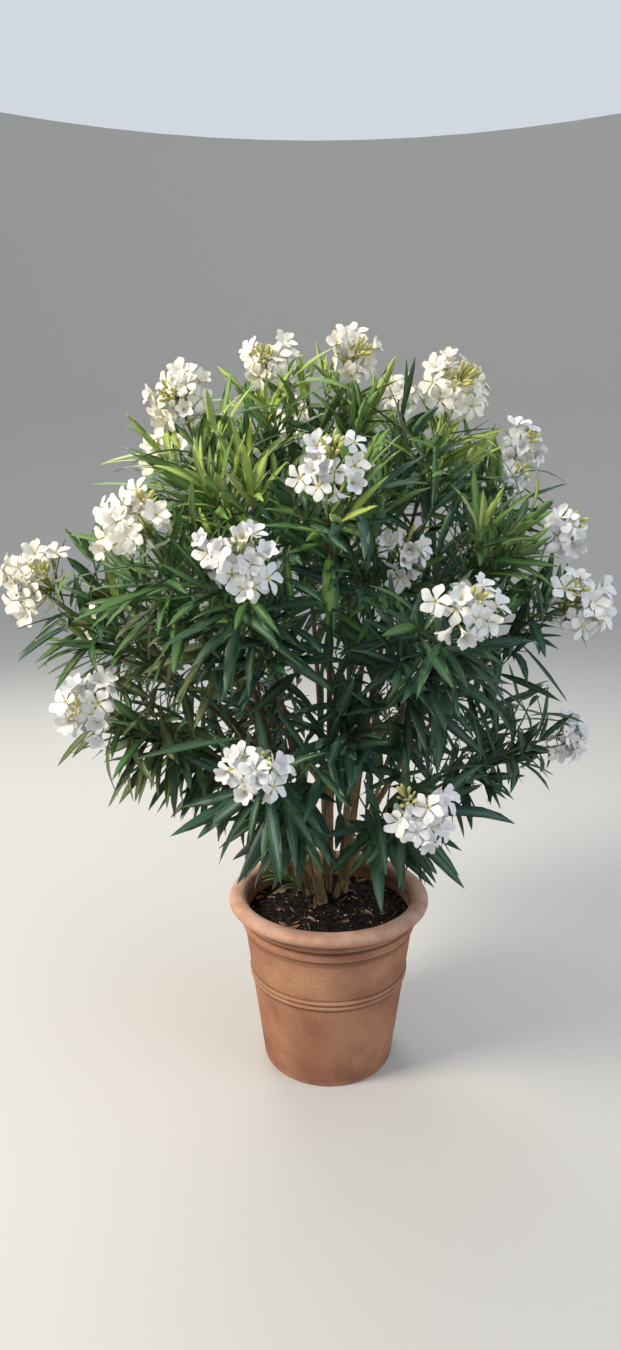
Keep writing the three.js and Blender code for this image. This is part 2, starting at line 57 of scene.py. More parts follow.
METRES = 0.001
UP = np.array([0.0, 0.0, 1.0])
FRONT_TO_BACK = np.array([0.0, 1.0, 0.0])
TURN = 2 * math.pi
GOLDEN_TURN = math.radians(137.508)

# The pot, from its foot to its rolled lip, as in the solids.
POT_HEIGHT = 405
FOOT_RADIUS = 151
SHOULDER_RADIUS = 194
SHOULDER_HEIGHT = 325
FOOT_CHAMFER = 4
BEADS_FOOT = 206
BEAD_RISE = 12
BEAD_DEPTH = 4
BAND_STEP = 6
BAND_RISE = 25
BAND_GROOVE = 3
LIP_OUTER_RADIUS = 230
LIP_INNER_RADIUS = 191
LIP_HEIGHT = 30
THROAT_RADIUS = 187
THROAT_HEIGHT = 352
TAPER_TOP = 320
WALL = 14
FLOOR = 20
DRAIN_RADIUS = 9
DRAIN_CIRCLE = 62
DRAINS = 3
SOIL_TOP = 360
SOIL_EDGE_DROP = 6
SOIL_LEVEL_RADIUS = 120
GAP = 0.3

# Canes and boughs, as in the solids.
FLARE_REACH = 22
FLARE_SHARE = 0.4
SLIGHT_FLARE = 0.08
TIP_RADIUS = 4.2
BOUGH_ROOT_RADIUS = 6.5
BOUGH_TAPER_SHARE = 0.7
WANDER = 16
CANE_RISE = 1.1
LEAVING_SHARE = 0.36
ARRIVING_SHARE = 0.34
MASS_REACH = 430
LEAST_BOUGH = 0.3
STUB_LENGTH = 62
STUB_RADIUS = 8
LOW_HEAD = 750
HIGH_HEAD = 1550
LOW_TILT = 12
HIGH_TILT = 75

# The space that a mass keeps to, as in the solids. Life-size leaves come closer to its edge.
CROWN_RADIUS = 655
MASS_MARGIN = -28
HEAD_CAP = 35
LEAFY_CAP = 110
LIMB_MARGIN = 1
POT_MARGIN = 12
STRETCH = 40
BOX_MARGIN = 2

# Shoots, carried further than in the solids: more whorls of leaves and more twigs.
WHORL_SPACING = 27.5
TWIG_WHORL_SPACING = 24.5
WHORL_CROWDING = 1.35
LEAVES_PER_WHORL = 3
LEAF_STEP = 3
WHORL_TURN_SPREAD = 0.12
ANGLE_SPREAD = 22
YOUNG_ANGLE = 24
OLD_ANGLE = 74
LONE_AGE = 0.4
SHED_AGE = 0.8
SHED_SHARE = 0.3

# Twigs: how many leave a shoot and how far up it the last one does, their shape, and the lengths that
# are tried until one fits.
TWIGS = 10
LAST_TWIG = 0.86
TWIG_TURN_SPREAD = 0.8
TWIG_ANGLE = 40
TWIG_LIFT = 0.35
TWIG_TIP_LIFT = 0.15
TWIG_LEAVING = 0.34
TWIG_MIDDLE = 0.5
TWIG_ARRIVING = 0.2
TWIG_LENGTHS = (130, 210)
TWIG_TRIES = (1, 0.75, 0.55)
TWIG_TESTS = (0.4, 0.7, 1)
TWIG_RADIUS = 2.6
TWIG_TAPER = 0.55
TWIG_BARE = 0.3
TWIG_LAST_WHORL = 0.98
TWIG_OLD_ANGLE = 62
TWIG_HANG = 0.8
TWIG_LEAF_SIZE = 0.95

# The radii of a round stem or stalk at its start and end, the spacing of its rings, and its sides.
STEM = (TIP_RADIUS, 2.8, 14, 8)
SPROUT_STEM = (2.2, 1.2, 10, 6)
CLUMP_STALK = (2.6, 2.2, 12, 7)
FLOWER_STALK = (1.5, 1, 11, 5)
BUD_STALK = (1.2, 0.8, 11, 5)

# A low head sits close on a wide star of leaves, and a high one on a longer stalk above steep leaves.
LOW_STAR_ANGLE = 70
HIGH_STAR_ANGLE = 34
LOW_STALK = 0.5
HIGH_STALK = 0.66
LEAFY_STOP = 75

# Old leaves hang, most of all low down.
LOW_HANG = 1.25
HIGH_HANG = 0.25
HANG_LEVELS = (620, 1250)
ROLL = 54
# How strongly a leaf turns its face to the tip of its shoot, out from the crown and, in front, forwards.
FACE_TIP = 0.6
FACE_OUT = 0.5
FACE_FRONT = 0.4

# A leaf of life size: where it is widest, the shares of its length where its room is tested and how
# near its blade may come to a limb, the sizes it is tried at, and how its size varies. A leaf at the
# tip of a shoot is smaller, and one is full-grown a third of the way to the oldest.
LEAF_LENGTH = 168
LEAF_WIDTH = 22.5
LEAF_RIB = 0.6
LEAF_WIDEST = 0.45
LEAF_TESTS = (0.2, 0.7, 1)
LEAF_ROOM = 1.5
LEAF_TRIES = (1, 0.86)
LEAF_SIZES = (0.84, 1.1)
YOUNG_SIZE = 0.72
YOUNG_TIMES = 3

# Which way clumps face: those in front of this depth turn forwards, and high ones look further up.
CLUMP_TURN_BACK = 310
CLUMP_OUT = 0.36
CLUMP_LOW_TILT = 12
CLUMP_HIGH_TILT = 22

# How far leaves keep from a clump of blossoms: round it, behind its middle and beside its front as
# shares of its width, in front of it, and how the room in front widens.
CLUMP_ROOM = 6
CLUMP_BACK = 0.16
CLUMP_HALF = 0.42
CLUMP_FRONT = 240
CLUMP_SPREAD = 0.12

# No leaf hangs into the middle above the pot's front, where the feet of the canes show.
FOOT_WINDOW = (-58, 26)
FOOT_WINDOW_BACK = 60
FOOT_WINDOW_TOP = 425
FOOT_WINDOW_SLOPE = 0.5

# Nor does any leaf in front of the pot hang lower than this, where it would cover the compost.
OPEN_FRONT = -120
OPEN_LEVEL = 452
OPEN_SLOPE = 0.32

# Where the photograph's camera stands.
EYE = (-42, -1730, 1245)

# Openings low on the right, where one sees past the crown. Each is the base of a cone from the eye, as
# a place across and up in the upright plane through the pot's middle, and a radius there.
OPENINGS = np.array([
    (527, 591, 103),
    (422, 499, 106),
    (623, 679, 90),
    (426, 415, 93),
    (539, 938, 61),
    (425, 933, 29),
], float)

# Where each kind of random draw starts, as in the solids.
CANE_SEED = 1
BOUGH_SEED = 20
MASS_SEED = 1
TWIG_SEED = 200
ANGLE_STEP = 50
SIZE_STEP = 100
KIND_STEP = 400
SHED_STEP = 500
ROLL_STEP = 600
CLUMP_SEED = 900
SPROUT_SEED = 77

# Each cane: its foot in the compost, its radius there, and the mass that ends it.
CANES = [
    ("left", (-42, 50), 10, "left_upper"),
    ("left_tall", (-28, 84), 10, "top_left"),
    ("centre", (2, 70), 10, "top_middle"),
    ("right", (17, 40), 10, "far_right"),
    ("right_tall", (40, 66), 10, "top_right"),
    ("back_left", (-66, 78), 10, "left_back"),
    ("back", (-2, 108), 10, "back_top_left"),
    ("back_right", (32, 102), 10, "back_top"),
    ("front", (-18, 22), 13, "low_front_left"),
]

# Each mass: where its head is, the cane and the share of it where its bough leaves, and how wide its
# head of blossoms is. A leafy mass has none.
MASSES = [
    ("left_upper", (-343, -350, 1241), None, 0, 158),
    ("far_left", (-590, -150, 1124), "left", 0.62, 152),
    ("low_left", (-473, -200, 886), "left", 0.42, 142),
    ("low_left_leafy", (-318, -60, 760), "back_left", 0.22, 0),
    ("top_left", (-292, -150, 1473), None, 0, 134),
    ("top_middle_left", (-135, 0, 1563), "left_tall", 0.78, 124),
    ("front_left", (-169, -420, 1177), "left_tall", 0.4, 138),
    ("young_left", (-219, -250, 1346), "left_tall", 0.62, 0),
    ("top_middle", (49, 50, 1589), None, 0, 126),
    ("front_upper", (-11, -350, 1330), "centre", 0.55, 140),
    ("inner", (137, -200, 1183), "centre", 0.36, 124),
    ("low_middle", (40, -330, 880), "centre", 0.16, 0),
    ("far_right", (500, -130, 1135), None, 0, 146),
    ("front_right", (213, -420, 1096), "right", 0.34, 142),
    ("low_right", (548, 50, 763), "right", 0.2, 104),
    ("right_leafy", (370, -150, 1254), "right_tall", 0.5, 0),
    ("top_right", (247, -50, 1503), None, 0, 154),
    ("upper_right", (450, 200, 1422), "right_tall", 0.66, 126),
    ("left_back", (-393, 200, 1397), None, 0, 124),
    ("left_low_back", (-554, 150, 1007), "back_left", 0.45, 96),
    ("back_left", (-260, 450, 1150), "back_left", 0.6, 134),
    ("back_top_left", (-77, 300, 1483), None, 0, 116),
    ("back", (60, 520, 1230), "back", 0.6, 134),
    ("back_low_left", (-230, 430, 780), "back", 0.3, 0),
    ("back_top", (169, 250, 1531), None, 0, 116),
    ("back_right", (380, 420, 1110), "back_right", 0.5, 134),
    ("back_low_right", (270, 430, 770), "back_right", 0.28, 112),
    ("low_front_left", (-139, -420, 814), None, 0, 132),
    ("low_front_right", (155, -380, 719), "right", 0.1, 130),
]

# The pruned stubs: the cane each stands on, how far up it, and which way it points.
STUBS = [
    ("front", 0.11, (-0.62, 0.1, 0.78)),
    ("centre", 0.045, (0.13, -0.35, 0.93)),
]

# The heads of blossoms that show best, as one sees them from in front: the lobes of each, with how far
# right and up of its middle a lobe is and how wide it is, and then where its buds are and how many.
HEAD_FORMS = {
    "left_upper": (((-27, 14, 85), (7, 51, 46), (47, 8, 54), (7, -37, 60), (-49, -45, 56)), (28, 34, 5)),
    "far_left": (
        ((-44, 32, 56), (-50, 0, 56), (6, 56, 54), (44, 62, 46), (-22, -12, 58), (-34, -40, 56),
         (-4, -38, 50), (-8, -64, 46), (-12, 22, 54)),
        (36, 14, 10),
    ),
    "low_left": (
        ((32, 52, 50), (-12, 34, 50), (-40, 8, 52), (34, 8, 56), (-26, -32, 54), (28, -52, 52)),
        (-2, -2, 8),
    ),
    "top_left": (
        ((10, 44, 56), (42, 32, 56), (24, 10, 54), (50, -8, 52), (-22, 26, 54), (-48, 0, 56), (-36, -30, 54),
         (-24, -54, 46), (22, -34, 56)),
        (-8, -8, 10),
    ),
    "top_middle_left": (
        ((-30, 11, 64), (41, 3, 60), (35, 42, 44), (44, -38, 46), (-6, -40, 50)),
        (5, -2, 12),
    ),
    "front_left": (
        ((-49, 37, 54), (33, 50, 56), (53, 15, 54), (-10, 10, 60), (25, -41, 60), (61, -25, 46)),
        (14, 24, 6),
    ),
    "top_middle": (((3, 37, 66), (-37, 19, 54), (43, 12, 56), (-12, -54, 44), (26, -36, 50)), (4, -6, 12)),
    "front_upper": (((44, 48, 52), (-20, 31, 52), (-33, -21, 76), (36, -21, 72)), (4, 32, 12)),
    "inner": (((-32, 17, 54), (22, 0, 72), (-15, -49, 54)), (0, 22, 4)),
    "front_right": (
        ((-51, 18, 52), (-13, 18, 56), (28, 41, 54), (53, 10, 52), (-10, -41, 56), (20, -23, 60)),
        (10, 18, 4),
    ),
    "low_right": (
        ((10, 40, 50), (28, 12, 50), (-4, 8, 50), (-24, -26, 52), (10, -30, 52), (30, -16, 46)),
        (-14, 26, 4),
    ),
    "top_right": (
        ((-54, 4, 54), (-42, 38, 54), (-8, 58, 54), (34, 50, 54), (58, 16, 54), (52, -24, 54), (22, -48, 54),
         (-14, -52, 54), (-44, -34, 54)),
        (3, 6, 22),
    ),
    "upper_right": (((-16, 36, 54), (23, 22, 60), (26, -28, 62), (-18, -20, 52)), (8, 0, 6)),
    "far_right": (
        ((-42, 30, 58), (2, 56, 52), (5, 0, 66), (48, 26, 58), (-11, -46, 54), (32, -33, 60)),
        (-20, 26, 8),
    ),
    "left_back": (((-16, 12, 58), (-23, -36, 52), (42, 20, 60)), (2, 2, 4)),
    "left_low_back": (((-20, 8, 50), (14, -10, 50), (-4, -32, 50), (22, 24, 50), (-6, 34, 46)), (2, 12, 3)),
    "back_top_left": (((-10, 34, 58), (22, 13, 58), (-40, -3, 58), (-2, -24, 56)), (12, -12, 8)),
    "low_front_left": (
        ((-32, 32, 48), (-49, 5, 52), (5, 12, 54), (50, 18, 56), (38, -16, 56), (-12, -26, 58)),
        (22, 30, 3),
    ),
    "low_front_right": (
        ((-43, 0, 58), (-14, -18, 52), (7, 25, 54), (50, 32, 48), (36, -21, 56), (4, -36, 52)),
        (-25, 40, 9),
    ),
}
# Any other head has lobes of this width, one for this much of the head's own width, set in from its edge
# by a share of theirs and turned by chance. It has this many buds, right and up by shares of the ring.
PLAIN_LOBE = 58
PLAIN_SPACING = 26
PLAIN_INSET = 0.46
PLAIN_STRAY = 0.5
PLAIN_BUDS = 7
PLAIN_BUDS_AT = (0.5, 0.4)

# A head that hangs beside the end of its shoot, and how far from it.
HEAD_SHIFTS = {
    "far_right": np.array([-9.0, -30, -52]),
    "low_right": np.array([-16.0, -50, 0]),
    "low_left": np.array([8.0, -60, 12]),
}

# The heads whose flowers are larger than the rest, and how much larger.
LARGE_FLOWERS = {"far_right": 1.2, "low_right": 1.1, "low_left": 1.14}

# The heads that have been open longest, whose petals are creamier, partly with age and partly as painted
# warm sunlight on these heads high up and on the left.
AGED_AND_SUNLIT_HEADS = (
    "top_left", "top_middle_left", "top_middle", "top_right", "left_upper", "far_left", "left_back",
    "back_top_left", "back_top", "left_low_back",
)

# The masses low in front, whose leaves are the largest and stand furthest apart, and how much.
BROAD_MASSES = {"low_front_left": 1.16, "low_front_right": 1.16, "low_middle": 1.16}

# The masses whose leaves are this year's, and how much paler they are.
YOUNG_MASSES = {"young_left": 0.3, "right_leafy": 0.1}

# Second clumps of blossoms on a side twig: the mass, where the clump is, and how wide it is.
SECOND_CLUMPS = [
    ("far_right", (470, -98, 1222), 112),
    ("upper_right", (426, 180, 1337), 92),
]

# A young shoot beside the foot of the left cane, from its root to its tip.
SPROUT = ((-38, 2, 350), (-50, -6, 392), (-78, -14, 430), (-112, -20, 452))
SPROUT_LEAFY = (0.35, 0.98)
SPROUT_SPACING = 14
SPROUT_ANGLES = (20, 56)
SPROUT_HANG = 0.1
SPROUT_LEAF = 0.42


# Numbers, colours and nodes

def draw(seed, step):
    """A draw from 0 to 1 that is the same each time for the same seed and step."""
    wave = math.sin(seed * 127.1 + step * 311.7) * 43758.5453
    return wave - math.floor(wave)


def between(low, high, share):
    """The value at a share of the way from a low to a high end."""
    return low + (high - low) * share


def span_share(value, low, high):
    """How far a value is from a low to a high end, from 0 to 1."""
    return min(1, max(0, (value - low) / (high - low)))


def unit(vector):
    return np.asarray(vector, float) / np.linalg.norm(vector)


def linear(colour):
    """An sRGB hex colour as the linear values that a shader takes."""
    channels = [int(colour[i : i + 2], 16) / 255 for i in (1, 3, 5)]
    lit = [c / 12.92 if c <= 0.04045 else ((c + 0.055) / 1.055) ** 2.4 for c in channels]
    return (*lit, 1.0)


def set_stops(ramp, stops):
    """Gives a colour ramp its stops, from pairs of position and hex colour."""
    while len(ramp.elements) < len(stops):
        ramp.elements.new(0.5)
    for element, (position, colour) in zip(ramp.elements, stops):
        element.position = position
        element.color = linear(colour)


def add(tree, kind, settings=None, inputs=None):
    """Adds a node with its settings, and its inputs as values, as hex colours or as links."""
    node = tree.nodes.new(kind)
    for name, value in (settings or {}).items():
        if name == "stops":
            set_stops(node.color_ramp, value)
        else:
            setattr(node, name, value)
    for name, value in (inputs or {}).items():
        if isinstance(value, bpy.types.Node):
            value = next(socket for socket in value.outputs if socket.enabled)
        if isinstance(value, bpy.types.NodeSocket):
            tree.links.new(value, node.inputs[name])
        elif isinstance(value, str) and value.startswith("#"):
            node.inputs[name].default_value = linear(value)
        else:
            node.inputs[name].default_value = value
    return node


# Materials

# The sockets of three kinds of node, in the order in which the materials give their values.
RANGE = ("Value", "From Min", "From Max", "To Min", "To Max")
NOISE = ("Vector", "Scale", "Detail")
BUMP = ("Height", "Distance", "Normal")
COLOUR_MIX = {"data_type": "RGBA"}


def per_metre(size):
    """The scale of a noise whose patches are about that many millimetres across."""
    return 0.5 / (size * METRES)


def surface(name, paint, **finish):
    """A material whose colour and bump the function paint makes in its tree."""
    material = bpy.data.materials.new(name)
    material.use_nodes = True
    tree = material.node_tree
    tree.nodes.clear()
    inputs = {key.replace("_", " "): value for key, value in finish.items()}
    inputs.update(paint(tree))
    shader = add(tree, "ShaderNodeBsdfPrincipled", {}, inputs)
    add(tree, "ShaderNodeOutputMaterial", {}, {"Surface": shader})
    return material


def plain(name, colour, **finish):
    """A material of one colour."""
    return surface(name, lambda tree: {"Base Color": colour}, **finish)


# In metres: where lime thickens up to the lip, where the clay grows darker in patches down to the foot,
# and where old bark, pale partly as painted light, gives way to young bark, dark partly as painted shade.
LIME_LEVELS = (0.368, 0.4)
FOOT_DARKENING_LEVELS = (0.16, 0.0)
YOUNG_SHADED_BARK_LEVELS = (0.44, 0.8)

# Cells to a metre: crumbs of compost are about 5 mm across, and the pores of bark about 8 mm apart.
CRUMB_CELLS = 190.0
PORE_CELLS = 120.0

# Where shade is painted on the pot: the level of each groove, and how far up and down its painted shade
# reaches.
PAINTED_GROOVE_SHADES = [
    (BEADS_FOOT - 1, 6),
    (BEADS_FOOT + BEAD_RISE, 4),
    (BEADS_FOOT + 2 * BEAD_RISE, 4),
    (SHOULDER_HEIGHT - 3, 10),
    (SHOULDER_HEIGHT + BAND_RISE - 1, 6),
    (SHOULDER_HEIGHT + 2 * BAND_RISE, 7),
]


# Fired clay, pressed in a mould and left unglazed: dull and open-pored, rubbed pale on its edges, with
# a dusty lime bloom on its lip where it dries out last, and painted shade in its grooves.
def paint_clay(tree):
    place = add(tree, "ShaderNodeTexCoord").outputs["Object"]
    level = add(tree, "ShaderNodeSeparateXYZ", {}, {"Vector": place}).outputs["Z"]
    clouds, grain, patches, pores = (
        add(tree, "ShaderNodeTexNoise", {}, dict(zip(NOISE, (place, per_metre(size), detail))))
        for size, detail in ((70, 5), (3, 3), (28, 6), (1.6, 3))
    )
    stops = ((0.34, "#85543c"), (0.5, "#9d6a4e"), (0.68, "#b28362"))
    clay = add(tree, "ShaderNodeValToRGB", {"stops": stops}, {"Fac": clouds})
    grain = add(tree, "ShaderNodeMapRange", {}, dict(zip(RANGE, (grain, 0.35, 0.65, 0.84, 1.1))))
    grain = add(tree, "ShaderNodeCombineColor", {}, {"Red": grain, "Green": grain, "Blue": grain})
    clay = add(tree, "ShaderNodeMix", COLOUR_MIX | {"blend_type": "MULTIPLY"}, {0: 0.8, 6: clay, 7: grain})
    patches = add(tree, "ShaderNodeMapRange", {}, dict(zip(RANGE, (patches, 0.4, 0.62))))
    lime = add(tree, "ShaderNodeMapRange", {}, dict(zip(RANGE, (patches, 0, 1, 0.4, 0.85))))
    on_lip = add(tree, "ShaderNodeMapRange", {}, dict(zip(RANGE, (level, *LIME_LEVELS, 0.14, 0.85))))
    lime = add(tree, "ShaderNodeMath", {"operation": "MULTIPLY"}, {0: lime, 1: on_lip})
    # The clay grows darker in patches towards the foot.
    near_foot = add(tree, "ShaderNodeMapRange", {}, dict(zip(RANGE, (level, *FOOT_DARKENING_LEVELS, 0.0, 0.6))))
    darker_foot = add(tree, "ShaderNodeMath", {"operation": "MULTIPLY"}, {0: near_foot, 1: patches})
    layers = [(lime, "#dfbba8"), (darker_foot, "#70432f")]
    # Painted shade: a dark band round each groove, darkest at its middle.
    for groove, width in PAINTED_GROOVE_SHADES:
        off = add(tree, "ShaderNodeMath", {"operation": "SUBTRACT"}, {0: level, 1: groove * METRES})
        off = add(tree, "ShaderNodeMath", {"operation": "ABSOLUTE"}, {0: off})
        groove_shade = add(tree, "ShaderNodeMapRange", {}, dict(zip(RANGE, (off, width * METRES, 0, 0, 0.7))))
        layers.append((groove_shade, "#5f3a2b"))
    edges = add(tree, "ShaderNodeNewGeometry").outputs["Pointiness"]
    rubbed = add(tree, "ShaderNodeMapRange", {}, dict(zip(RANGE, (edges, 0.512, 0.55, 0, 0.5))))
    for share, colour in (*layers, (rubbed, "#d8aa8c")):
        clay = add(tree, "ShaderNodeMix", COLOUR_MIX, {0: share, 6: clay, 7: colour})
    # The mould left faint level ridges, under the open pores of the clay.
    flat = add(tree, "ShaderNodeMapping", {}, {"Vector": place, "Scale": (1, 1, 14)})
    ridges = add(tree, "ShaderNodeTexNoise", {}, dict(zip(NOISE, (flat, per_metre(9), 2))))
    pitted = add(tree, "ShaderNodeBump", {}, dict(zip(BUMP, (pores, 0.35 * METRES))))
    normal = add(tree, "ShaderNodeBump", {}, dict(zip(BUMP, (ridges, 0.7 * METRES, pitted))))
    return {"Base Color": clay, "Normal": normal}


# Moist potting compost: crumbs of peat and bark from 1 to 6 mm, nearly black, with brown fibres.
def paint_compost(tree):
    place = add(tree, "ShaderNodeTexCoord").outputs["Object"]
    fibres, grains = (
        add(tree, "ShaderNodeTexNoise", {}, dict(zip(NOISE, (place, per_metre(size), detail))))
        for size, detail in ((6, 6), (2.5, 5))
    )
    stops = ((0.36, "#0d0a09"), (0.52, "#1c1613"), (0.66, "#362921"))
    tone = add(tree, "ShaderNodeValToRGB", {"stops": stops}, {"Fac": fibres})
    crumbs = add(tree, "ShaderNodeTexVoronoi", {}, {"Vector": place, "Scale": CRUMB_CELLS})
    crumbly = add(tree, "ShaderNodeBump", {}, dict(zip(BUMP, (crumbs, 2 * METRES))))
    normal = add(tree, "ShaderNodeBump", {}, dict(zip(BUMP, (grains, 2.2 * METRES, crumbly))))
    return {"Base Color": tone, "Normal": normal}


# Oleander bark: thin and dull, grey-tan and flaking at the foot, red-brown higher up, with pale pores
# and a breath of green algae. The foot is also painted paler, as painted light, and the bark higher up
# darker, as painted shade under the leaves.
def paint_bark(tree):
    place = add(tree, "ShaderNodeTexCoord").outputs["Object"]
    level = add(tree, "ShaderNodeSeparateXYZ", {}, {"Vector": place}).outputs["Z"]
    upright = add(tree, "ShaderNodeMapping", {}, {"Vector": place, "Scale": (1, 1, 0.22)})
    streaks, algae, grain = (
        add(tree, "ShaderNodeTexNoise", {}, dict(zip(NOISE, (where, per_metre(size), detail))))
        for where, size, detail in ((upright, 7, 6), (place, 26, 4), (place, 1.5, 3))
    )
    # Painted light and shade: the old bark at the foot is paler, and the young bark above darker, than the
    # bark is.
    old_lit_stops = ((0.32, "#62513a"), (0.48, "#9a8361"), (0.6, "#bba278"), (0.7, "#7d6a4e"))
    young_shaded_stops = ((0.34, "#33241b"), (0.5, "#4d382b"), (0.66, "#695140"))
    bark = add(tree, "ShaderNodeValToRGB", {"stops": old_lit_stops}, {"Fac": streaks})
    young = add(tree, "ShaderNodeValToRGB", {"stops": young_shaded_stops}, {"Fac": streaks})
    high_and_shaded = add(tree, "ShaderNodeMapRange", {}, dict(zip(RANGE, (level, *YOUNG_SHADED_BARK_LEVELS))))
    pores = add(tree, "ShaderNodeTexVoronoi", {}, {"Vector": place, "Scale": PORE_CELLS})
    pores = add(tree, "ShaderNodeMapRange", {}, dict(zip(RANGE, (pores, 0.16, 0.1, 0, 0.5))))
    algae = add(tree, "ShaderNodeMapRange", {}, dict(zip(RANGE, (algae, 0.48, 0.66))))
    algae = add(tree, "ShaderNodeMath", {"operation": "MULTIPLY"}, {0: algae, 1: 0.45})
    for share, colour in ((high_and_shaded, young), (pores, "#b7a98c"), (algae, "#6a673a")):
        bark = add(tree, "ShaderNodeMix", COLOUR_MIX, {0: share, 6: bark, 7: colour})
    furrowed = add(tree, "ShaderNodeBump", {}, dict(zip(BUMP, (streaks, 1.6 * METRES))))
    normal = add(tree, "ShaderNodeBump", {}, dict(zip(BUMP, (grain, 0.5 * METRES, furrowed))))
    return {"Base Color": bark, "Normal": normal}


def painter(size, depth, *stops):
    """A function that paints soft patches of close colours, of that size and relief in millimetres."""

    def paint(tree):
        place = add(tree, "ShaderNodeTexCoord").outputs["Object"]
        patches = add(tree, "ShaderNodeTexNoise", {}, dict(zip(NOISE, (place, per_metre(size), 3))))
        tone = add(tree, "ShaderNodeValToRGB", {"stops": stops}, {"Fac": patches})
        normal = add(tree, "ShaderNodeBump", {}, dict(zip(BUMP, (patches, depth * METRES))))
        return {"Base Color": tone, "Normal": normal}

    return paint


CLAY = surface("unglazed terracotta", paint_clay, Roughness=0.86, Specular_IOR_Level=0.3)
COMPOST = surface("moist compost", paint_compost, Roughness=0.95, Specular_IOR_Level=0.25)
BARK = surface("oleander bark", paint_bark, Roughness=0.78)
# Pruned wood that has weathered to a pale, dull straw colour.
STRAW = painter(5, 0.4, (0.35, "#8c7350"), (0.65, "#c8b188"))
CUT_WOOD = surface("weathered cut wood", STRAW, Roughness=0.8)
# Chips of pine bark, dried pale on top and still brown in their cracks.
CHIP = painter(9, 0.5, (0.3, "#4a3222"), (0.5, "#8d6a4c"), (0.7, "#c09a76"))
BARK_CHIP = surface("dry bark chip", CHIP, Roughness=0.85)
# Finer bark, which stays damp and dark between the crumbs.
FINES = painter(6, 0.4, (0.3, "#1d1511"), (0.5, "#3a2a20"), (0.7, "#5c4636"))
FINE_BARK = surface("fine dark bark", FINES, Roughness=0.9)
# Perlite: grains of puffed volcanic glass that show as chalky specks.
PERLITE = plain("perlite grain", "#e4ded4", Roughness=0.9)
# The smooth rind of this year's shoots, a dull olive green.
SHOOT = plain("green shoot rind", "#5a6238", Roughness=0.5)
# Petals are thin, soft and matt, and white down to a cream throat. Heads that have been open longest
# are creamier, partly with age and partly as painted warm sunlight.
PETALS_BY_AGE_AND_SUN = {
    "fresh": plain("white petal", "#e4e5e5", Roughness=0.6, Specular_IOR_Level=0.3),
    # Painted warm sunlight, in part: the cream petals of the heads high up and on the left.
    "aged": plain("cream white petal", "#eeeade", Roughness=0.6, Specular_IOR_Level=0.3),
}
THROAT = plain("cream throat", "#ebe6c8", Roughness=0.6)
# Buds are waxy and closed, a dull gold that stands out among the petals.
BUD = plain("unopened bud", "#c3bf72", Roughness=0.55)
# Flower stalks are smooth and a pale yellow green.
STALK = plain("flower stalk", "#a5aa58", Roughness=0.55)


# A leathery leaf with a waxy skin: its upper face is smooth and half glossy, its underside paler and
# dull, and its midrib shows as a light line.
def leaf_tint(name, upper, under, rib):
    return (
        plain(name, upper, Roughness=0.52, Specular_IOR_Level=0.5),
        plain(name + " underside", under, Roughness=0.65, Specular_IOR_Level=0.3),
        plain(name + " midrib", rib, Roughness=0.65, Specular_IOR_Level=0.2),
    )


# The tints that sprays of leaves have, from the tips of young shoots to old leaves in the shade. The
# paler tints are partly painted light, and the darker ones partly painted shade.
TINTS = {
    "young": leaf_tint("young leaf", "#96ae4e", "#aabd74", "#b9c977"),
    "fresh": leaf_tint("fresh leaf", "#64883c", "#88a464", "#8fad62"),
    "bright": leaf_tint("grass green leaf", "#446b35", "#6c8b5c", "#6f9456"),
    "mature": leaf_tint("mature leaf", "#315538", "#5f7d5b", "#5e8159"),
    "blue": leaf_tint("blue green leaf", "#2c4f3d", "#5b7963", "#567c66"),
    "deep": leaf_tint("deep green leaf", "#203e2a", "#4b6a4e", "#45694a"),
    "olive": leaf_tint("olive leaf", "#58653b", "#7c875c", "#86915e"),
}


# Shapes

class Shape:
    """Points and faces that become one mesh, with a material slot for each face."""

    def __init__(self):
        self.points = []
        self.faces = []
        self.slots = []

    def add(self, points, faces, slot=0):
        start = len(self.points)
        self.points.extend(tuple(point) for point in points)
        self.faces.extend(tuple(start + corner for corner in face) for face in faces)
        self.slots.extend([slot] * len(faces))

    def mesh(self, name, materials):
        mesh = bpy.data.meshes.new(name)
        mesh.from_pydata([Vector(point) * METRES for point in self.points], [], self.faces)
        for material in materials:
            mesh.materials.append(material)
        mesh.polygons.foreach_set("material_index", self.slots)
        mesh.polygons.foreach_set("use_smooth", [True] * len(self.faces))
        mesh.update()
        return mesh


def shown(mesh):
    """An object at the origin that shows a mesh."""
    piece = bpy.data.objects.new(mesh.name, mesh)
    bpy.context.scene.collection.objects.link(piece)
    return piece


def dress(piece, nodes):
    """The piece rides on the plant's one body and stands for those solids."""
    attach(piece, "root")
    if nodes:
        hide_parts(*nodes)
    return piece


def level_ring(radius, level, sides):
    """The corners of a level ring round the Z axis."""
    turns = [side / sides * TURN for side in range(sides)]
    return [(radius * math.cos(turn), radius * math.sin(turn), level) for turn in turns]


def rings_to_faces(count, sides, closed=True):
    """Faces between rings of corners, with a cap at each end if it is a closed body."""
    faces = []
    for ring in range(count - 1):
        for side in range(sides):
            a = ring * sides + side
            b = ring * sides + (side + 1) % sides
            faces.append((a, b, b + sides, a + sides))
    if closed:
        faces.append(tuple(reversed(range(sides))))
        faces.append(tuple((count - 1) * sides + side for side in range(sides)))
    return faces


